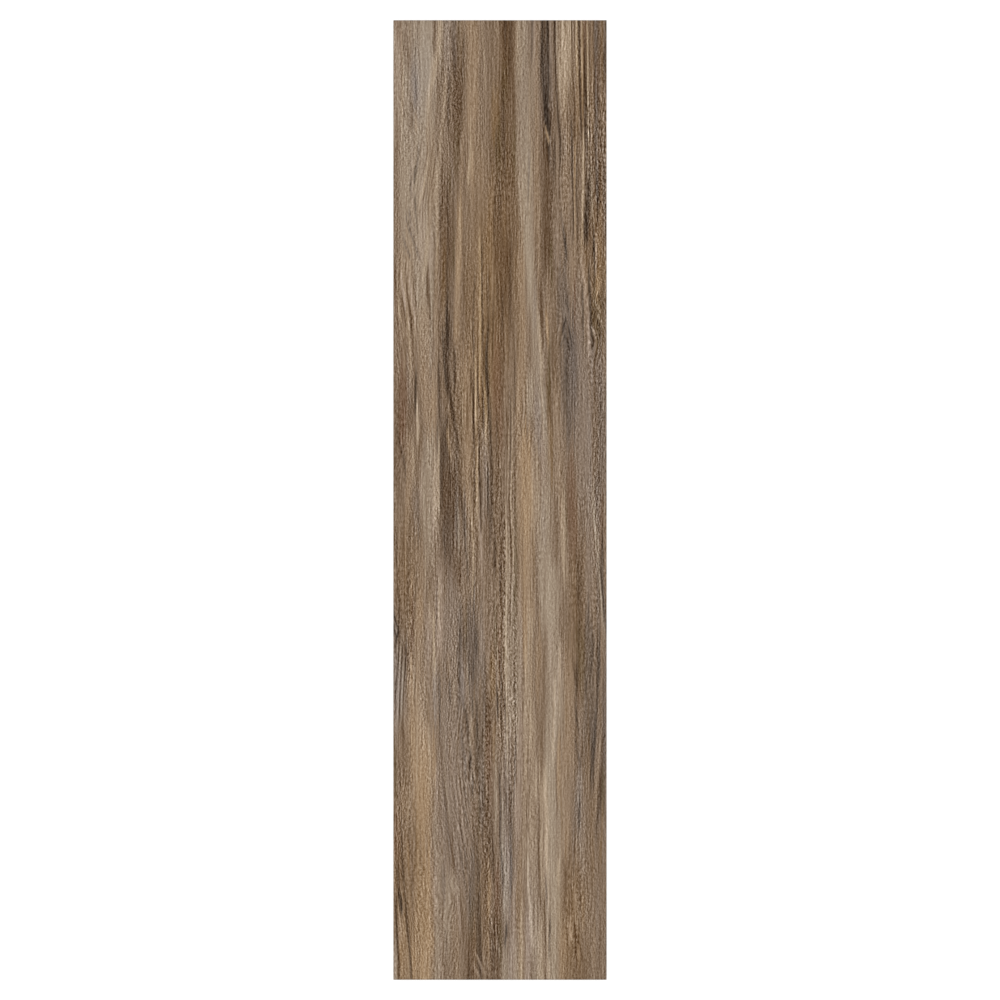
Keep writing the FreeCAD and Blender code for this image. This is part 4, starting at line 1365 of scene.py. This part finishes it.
def grid_quads(columns, rows):
    """A grid's quads, facing up."""
    index = np.arange(columns * rows).reshape(rows, columns)
    return np.stack([index[:-1, :-1], index[:-1, 1:], index[1:, 1:], index[1:, :-1]], axis=-1).reshape(-1, 4)


def mitred_triangles(quads, height):
    """Each quad cut in two, facing down, along the diagonal with the higher ends: that mitres the pockets."""
    first, second, third, fourth = quads.T
    one_way = np.stack([np.stack([first, third, second], 1), np.stack([first, fourth, third], 1)], 1)
    other_way = np.stack([np.stack([first, fourth, second], 1), np.stack([second, fourth, third], 1)], 1)
    higher = height[first] + height[third] > height[second] + height[fourth]
    return np.where(higher[:, None, None], one_way, other_way).reshape(-1, 3)


# Columns of the texture map that each patch fills, from left to right
face_strip = (0.004, 0.796)
back_strip = (0.804, 0.954)
head_strip = (0.960, 0.968)
edge_strip = (0.972, 0.990)
foot_strip = (0.993, 0.997)
map_margin = 0.004  # left free over and under them


def bake_place(strip, over, up):
    """Places on the texture map: over runs across the strip's columns, and up fills the map's height."""
    low, high = strip
    return np.stack([low + (high - low) * over, map_margin + (1 - 2 * map_margin) * up], axis=-1)


# Numbers of the tile's finishes, in the order of its materials
print_finish, edge_finish, back_finish = 0, 1, 2


def slab_patches():
    """The closed surface: its points in mm, its patches, and the ink colours of its first points.

    Each patch has its faces' corners, their places on the texture map and the number of its finish. The
    printed face is a height field. From its border the face arris runs down to a ring on the slab's outline,
    the ground edge from there to the ring at the head of the back arris, and that arris to the border of the
    back, a second height field with the pockets.
    """
    face_points, tone = face_sheet()
    back_points, back_grid = back_sheet()
    face_border = border(face_columns, face_rows)
    back_border = border(*back_grid)
    upper_outline = pushed_out(face_points[face_border, :2], face_arris)
    lower_outline = pushed_out(back_points[back_border, :2], back_arris)
    upper_points = np.insert(upper_outline, 2, thickness - face_arris, axis=1)
    lower_points = np.insert(lower_outline, 2, back_arris, axis=1)

    points = np.concatenate([face_points, upper_points, lower_points, back_points])
    upper_ring = len(face_points) + np.arange(len(upper_points))
    lower_ring = upper_ring[-1] + 1 + np.arange(len(lower_points))
    back_start = lower_ring[-1] + 1
    upper_share, lower_share = round_ring(upper_outline), round_ring(lower_outline)

    face_quads = grid_quads(face_columns, face_rows)
    back_faces = mitred_triangles(grid_quads(*back_grid), back_points[:, 2]) + back_start
    head_quads, head_share = ring_strip(face_border, upper_ring, upper_share)
    edge_faces, edge_share = joined_rings(upper_ring, lower_ring, upper_share, lower_share)
    foot_quads, foot_share = ring_strip(lower_ring, back_border + back_start, lower_share)

    over, up = ((points[:, :2] / (slab_half_width, slab_half_length) + 1) / 2).T
    drop = points[:, 2] / thickness
    patches = [
        (face_quads, bake_place(face_strip, over[face_quads], up[face_quads]), print_finish),
        (head_quads, bake_place(head_strip, drop[head_quads], head_share), print_finish),
        (edge_faces, bake_place(edge_strip, drop[edge_faces], edge_share), edge_finish),
        (foot_quads, bake_place(foot_strip, drop[foot_quads], foot_share), edge_finish),
        (back_faces, bake_place(back_strip, over[back_faces], up[back_faces]), back_finish),
    ]
    return points, patches, np.concatenate([tone, tone[face_border]])


def plank_tile_piece(finishes):
    """The tile as one closed mesh that carries the print's colours and the grain's fields on its points."""
    points, patches, tone = slab_patches()
    mesh = bpy.data.meshes.new("plank_tile_glazed")
    faces, places, numbers = zip(*patches)
    sides = np.concatenate([np.full(len(patch), patch.shape[1]) for patch in faces])
    finish = np.concatenate([np.full(len(patch), number) for patch, number in zip(faces, numbers)])
    mesh.vertices.add(len(points))
    mesh.vertices.foreach_set("co", (points * METRES).ravel())
    mesh.loops.add(int(sides.sum()))
    mesh.loops.foreach_set("vertex_index", np.concatenate([patch.ravel() for patch in faces]))
    mesh.polygons.add(len(sides))
    mesh.polygons.foreach_set("loop_start", np.cumsum(sides) - sides)
    for material in finishes:
        mesh.materials.append(material)
    mesh.polygons.foreach_set("material_index", finish)
    mesh.polygons.foreach_set("use_smooth", np.arange(len(finish)) < len(faces[0]))
    mesh.update(calc_edges=True)

    bake_map = mesh.uv_layers.new(name="OFBake")
    bake_map.uv.foreach_set("vector", np.concatenate([place.ravel() for place in places]))
    unprinted = np.tile(inks["oak"], (len(points) - len(tone), 1))
    print_tone = mesh.attributes.new("print_tone", "FLOAT_COLOR", "POINT")
    print_tone.data.foreach_set("color", np.insert(np.concatenate([tone, unprinted]), 3, 1, axis=1).ravel())
    across, along = points[:, 0], points[:, 1]
    fields = {
        "grain_across": grain_position(across, along),
        "grain_along": fibre_position(across, along),
        "hair_strength": strength_field(across, along, hair_zones, hair_strips),
        "line_strength": strength_field(across, along, line_zones, line_strips),
        "fleck_strength": zone_field(across, along, fleck_zones),
        "pore_strength": pore_field(across, along),
    }
    for name, field in fields.items():
        mesh.attributes.new(name, "FLOAT", "POINT").data.foreach_set("value", field)
    mesh.validate()
    tile = bpy.data.objects.new("plank_tile_glazed", mesh)
    bpy.context.scene.collection.objects.link(tile)
    return tile


# Materials
porcelain_ior = 1.5  # of the glaze and the fired body alike


def add_node(tree, kind, inputs=None, **settings):
    """Adds one node with its settings; each input, by name or number, is a value or a socket to link from."""
    made = tree.nodes.new("ShaderNode" + kind)
    for name, value in settings.items():
        setattr(made, name, value)
    for key, value in (inputs or {}).items():
        if isinstance(value, bpy.types.NodeSocket):
            tree.links.new(value, made.inputs[key])
        else:
            made.inputs[key].default_value = value
    return made


def maths(tree, operation, *values, kind="Math"):
    """The result of one operation on values or sockets."""
    return add_node(tree, kind, dict(enumerate(values)), operation=operation).outputs[0]


def noise(tree, place, scale, detail, flat=False, **inputs):
    """The value of a noise texture at a place, in a plane where flat."""
    made = add_node(
        tree, "TexNoise", {"Vector": place, "Scale": scale, "Detail": detail} | inputs,
        noise_dimensions="2D" if flat else "3D",
    )
    return made.outputs[0]


def bump(tree, height, depth, strength):
    """A surface tilted as if it rose with the height, by up to a depth in mm."""
    made = add_node(tree, "Bump", {"Height": height, "Distance": depth * METRES, "Strength": strength})
    return made.outputs[0]


def two_tone(tree, share, dark, pale, dark_until, pale_from):
    """A colour that runs from a dark hex value to a pale one while the share rises between two limits."""
    ramp = add_node(tree, "ValToRGB", {"Fac": share})
    for end, ink, limit in zip(ramp.color_ramp.elements, (dark, pale), (dark_until, pale_from)):
        end.position = limit
        end.color = (*linear(ink), 1)
    return ramp.outputs["Color"]


def new_material(name):
    """An empty node material, and its tree."""
    material = bpy.data.materials.new(name)
    material.use_nodes = True
    material.node_tree.nodes.clear()
    return material, material.node_tree


def add_surface(tree, inputs):
    """Ends a material with a Principled shader of porcelain that has these inputs."""
    shader = add_node(tree, "BsdfPrincipled", {"IOR": porcelain_ior} | inputs)
    add_node(tree, "OutputMaterial", {"Surface": shader.outputs["BSDF"]})


def point_value(tree, name):
    """A value that the mesh carries on its points."""
    return add_node(tree, "Attribute", attribute_name=name).outputs["Fac"]


def matt_glazed_wood_print():
    """Ink-jet wood print under a matt glaze: flat, dry colour with fibres in it and a faint, broad sheen."""
    material, tree = new_material("matt_glazed_wood_print")
    tone = add_node(tree, "Attribute", attribute_name="print_tone").outputs["Color"]
    grain_across, grain_along = point_value(tree, "grain_across"), point_value(tree, "grain_along")
    grain_place = add_node(tree, "CombineXYZ", {"X": grain_across, "Y": grain_along}).outputs[0]

    # Wood fibres are 0.02 to 0.05 mm wide; these are bundles of them, as coarse as the print shows them
    fibre_layers = {
        # width and length of a bundle in mm, how far it curls and steps the ink, and where it is drawn
        "specks": (0.95, 1.5, 0.0, 0.18, "hair_strength"),
        "hairs": (1.0, 3.6, 0.0, 0.18, "hair_strength"),
        "fibres": (1.05, 12.0, 0.0, 0.16, "hair_strength"),
        "lines": (1.05, 60.0, 0.0, 0.14, "line_strength"),
        "flecks": (1.2, 2.0, 1.5, 0.15, "fleck_strength"),
        "pores": (1.7, 2.2, 0.0, 0.42, "pore_strength"),
    }
    # Each dark bundle has a light one beside it, so that they leave the broad tone as it is
    neighbour = 1.5  # mm
    shade = 0.0
    for width, length, curl, step, where in fibre_layers.values():
        strength = point_value(tree, where)
        for beside, side in ((0.0, step), (neighbour, -step)):
            moved = maths(tree, "ADD", grain_place, (beside, 0, 0), kind="VectorMath")
            scaled = maths(tree, "MULTIPLY", moved, (1 / width, 1 / length, 1), kind="VectorMath")
            bundles = noise(tree, scaled, scale=1.0, detail=0.6, flat=True, Distortion=curl)
            drawn = maths(tree, "MULTIPLY", bundles, strength)
            shade = maths(tree, "MULTIPLY_ADD", drawn, side, shade)

    # Bundles step the ink lighter or darker evenly to the eye, so they are added under the eye's gamma
    eye_gamma = 2.2
    eye_tone = add_node(tree, "Gamma", {"Color": tone, "Gamma": 1 / eye_gamma}).outputs[0]
    stepped = maths(tree, "ADD", eye_tone, shade, kind="VectorMath")
    colour = add_node(tree, "Gamma", {"Color": stepped, "Gamma": eye_gamma}).outputs[0]

    glaze_roughness, roughness_step = 0.6, 0.25
    fibre_height = 0.04  # mm
    add_surface(tree, {
        "Base Color": colour,
        "Roughness": maths(tree, "MULTIPLY_ADD", shade, roughness_step, glaze_roughness),
        "Specular IOR Level": 0.05,
        "Normal": bump(tree, shade, fibre_height, strength=0.6),
    })
    return material


def ground_porcelain_edge():
    """Porcelain body ground by diamond wheels: pale, fine taupe with scratches that run round the tile."""
    material, tree = new_material("ground_porcelain_edge")
    place = add_node(tree, "TexCoord").outputs["Object"]
    scratch_width, scratch_length, scratch_depth, grain_size = 0.5, 40.0, 0.03, 0.8  # mm
    scratch_scale = 1 / METRES / np.array([scratch_length, scratch_length, scratch_width])
    scratches_at = maths(tree, "MULTIPLY", place, scratch_scale, kind="VectorMath")
    scratches = noise(tree, scratches_at, scale=1.0, detail=2.0)
    grains = noise(tree, place, scale=1 / METRES / grain_size, detail=2.0)
    mixed = maths(tree, "MULTIPLY", scratches, grains)
    add_surface(tree, {
        "Base Color": two_tone(tree, mixed, "#85786a", "#a69a8a", dark_until=0.12, pale_from=0.42),
        "Roughness": 0.68,
        "Normal": bump(tree, scratches, scratch_depth, strength=0.5),
    })
    return material


def pressed_porcelain_back():
    """Bare fired porcelain as it left the press: dry taupe with pale kiln wash rubbed onto the rib crests."""
    material, tree = new_material("pressed_porcelain_back")
    place = add_node(tree, "TexCoord").outputs["Object"]
    height = add_node(tree, "SeparateXYZ", {0: place}).outputs["Z"]
    wash_patch, grain_size, grain_depth = 14.0, 0.7, 0.05  # mm
    wash_reach = 0.25 * pocket_depth * METRES  # from the crests into the pockets
    crest = add_node(tree, "MapRange", {"Value": height, "From Min": wash_reach, "From Max": 0.0}).outputs[0]
    wash = noise(tree, place, scale=1 / METRES / wash_patch, detail=4.0, Roughness=0.65)
    wash_cover = add_node(
        tree, "MapRange", {"Value": wash, "From Min": 0.40, "From Max": 0.58, "To Min": 0.15, "To Max": 0.9}
    ).outputs[0]
    wash_share = maths(tree, "MULTIPLY", crest, wash_cover)
    grains = noise(tree, place, scale=1 / METRES / grain_size, detail=2.0)
    body = two_tone(tree, grains, "#8f8172", "#aa9d8d", dark_until=0.32, pale_from=0.68)
    kiln_wash = (*linear("#d8d2c6"), 1)
    mixed = add_node(tree, "Mix", {"Factor": wash_share, "A": body, "B": kiln_wash}, data_type="RGBA")
    add_surface(tree, {
        "Base Color": mixed.outputs["Result"],
        "Roughness": 0.85,
        "Normal": bump(tree, grains, grain_depth, strength=0.5),
    })
    return material


# Stage, light and camera

def seen_directly(tree):
    """1 for a ray that the camera, a reflection or a clear material sends, and 0 for one that only lights."""
    path = add_node(tree, "LightPath").outputs
    seen = maths(tree, "MAXIMUM", path["Is Camera Ray"], path["Is Glossy Ray"])
    return maths(tree, "MAXIMUM", seen, path["Is Transmission Ray"])


def pale_floor():
    """A large flat square under the tile, white in the open, that darkens a little in the tile's shadow."""
    turns = ((-1, -1), (1, -1), (1, 1), (-1, 1))
    corners = [(x * floor_reach, y * floor_reach, -floor_gap) for x, y in turns]
    mesh = bpy.data.meshes.new("pale_floor")
    mesh.from_pydata(corners, [], [(0, 1, 2, 3)])
    material, tree = new_material("white_paper_floor")
    paper = add_node(tree, "BsdfDiffuse", {"Color": (floor_grey, floor_grey, floor_grey, 1)}).outputs[0]
    lift = maths(tree, "MULTIPLY", seen_directly(tree), floor_glow)
    glow = add_node(tree, "Emission", {"Color": (1, 1, 1, 1), "Strength": lift}).outputs[0]
    both = add_node(tree, "AddShader", {0: paper, 1: glow}).outputs[0]
    add_node(tree, "OutputMaterial", {"Surface": both})
    mesh.materials.append(material)
    floor = bpy.data.objects.new("pale_floor", mesh)
    bpy.context.scene.collection.objects.link(floor)
    return floor


def soft_box(name, side):
    """A large rectangular lamp on one side, -1 for left or 1 for right, that faces the tile's middle."""
    lamp = bpy.data.lights.new(name, "AREA")
    lamp.shape = "RECTANGLE"
    lamp.size, lamp.size_y = lamp_size
    lamp.energy = lamp_power
    box = bpy.data.objects.new(name, lamp)
    bpy.context.scene.collection.objects.link(box)
    box.location = (side * lamp_reach, 0.0, lamp_height)
    box.rotation_euler = (-box.location).to_track_quat("-Z", "Y").to_euler()


def studio_world():
    """An even grey surround that fills the shadows, and is white where the camera or a reflection sees it."""
    world = bpy.data.worlds.new("studio_surround")
    bpy.context.scene.world = world
    world.use_nodes = True
    tree = world.node_tree
    tree.nodes.clear()
    strength = add_node(tree, "MapRange", {"Value": seen_directly(tree), "To Min": fill_strength}).outputs[0]
    background = add_node(tree, "Background", {"Color": (1, 1, 1, 1), "Strength": strength}).outputs[0]
    add_node(tree, "OutputWorld", {"Surface": background})


def overhead_camera():
    """A long lens straight above the tile's middle, as high as the tile's share of the picture asks."""
    picture_side = 1000  # pixels
    tile_top, tile_bottom = 20.1, 979.95  # pixel rows of the tile's two ends in the photograph
    camera = bpy.data.cameras.new("overhead_camera")
    camera.sensor_width, camera.lens = 36.0, 100.0
    seen_side = 2 * slab_half_length * METRES * picture_side / (tile_bottom - tile_top)
    height = seen_side * camera.lens / camera.sensor_width
    holder = bpy.data.objects.new("overhead_camera", camera)
    bpy.context.scene.collection.objects.link(holder)
    holder.location = (0, 0, thickness * METRES + height)
    bpy.context.scene.camera = holder


tile = plank_tile_piece([matt_glazed_wood_print(), ground_porcelain_edge(), pressed_porcelain_back()])
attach(tile, "root")
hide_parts("plank_tile")
pale_floor()
studio_world()
soft_box("left_soft_box", -1)
soft_box("right_soft_box", 1)
overhead_camera()
bpy.context.scene.view_settings.view_transform = "Standard"
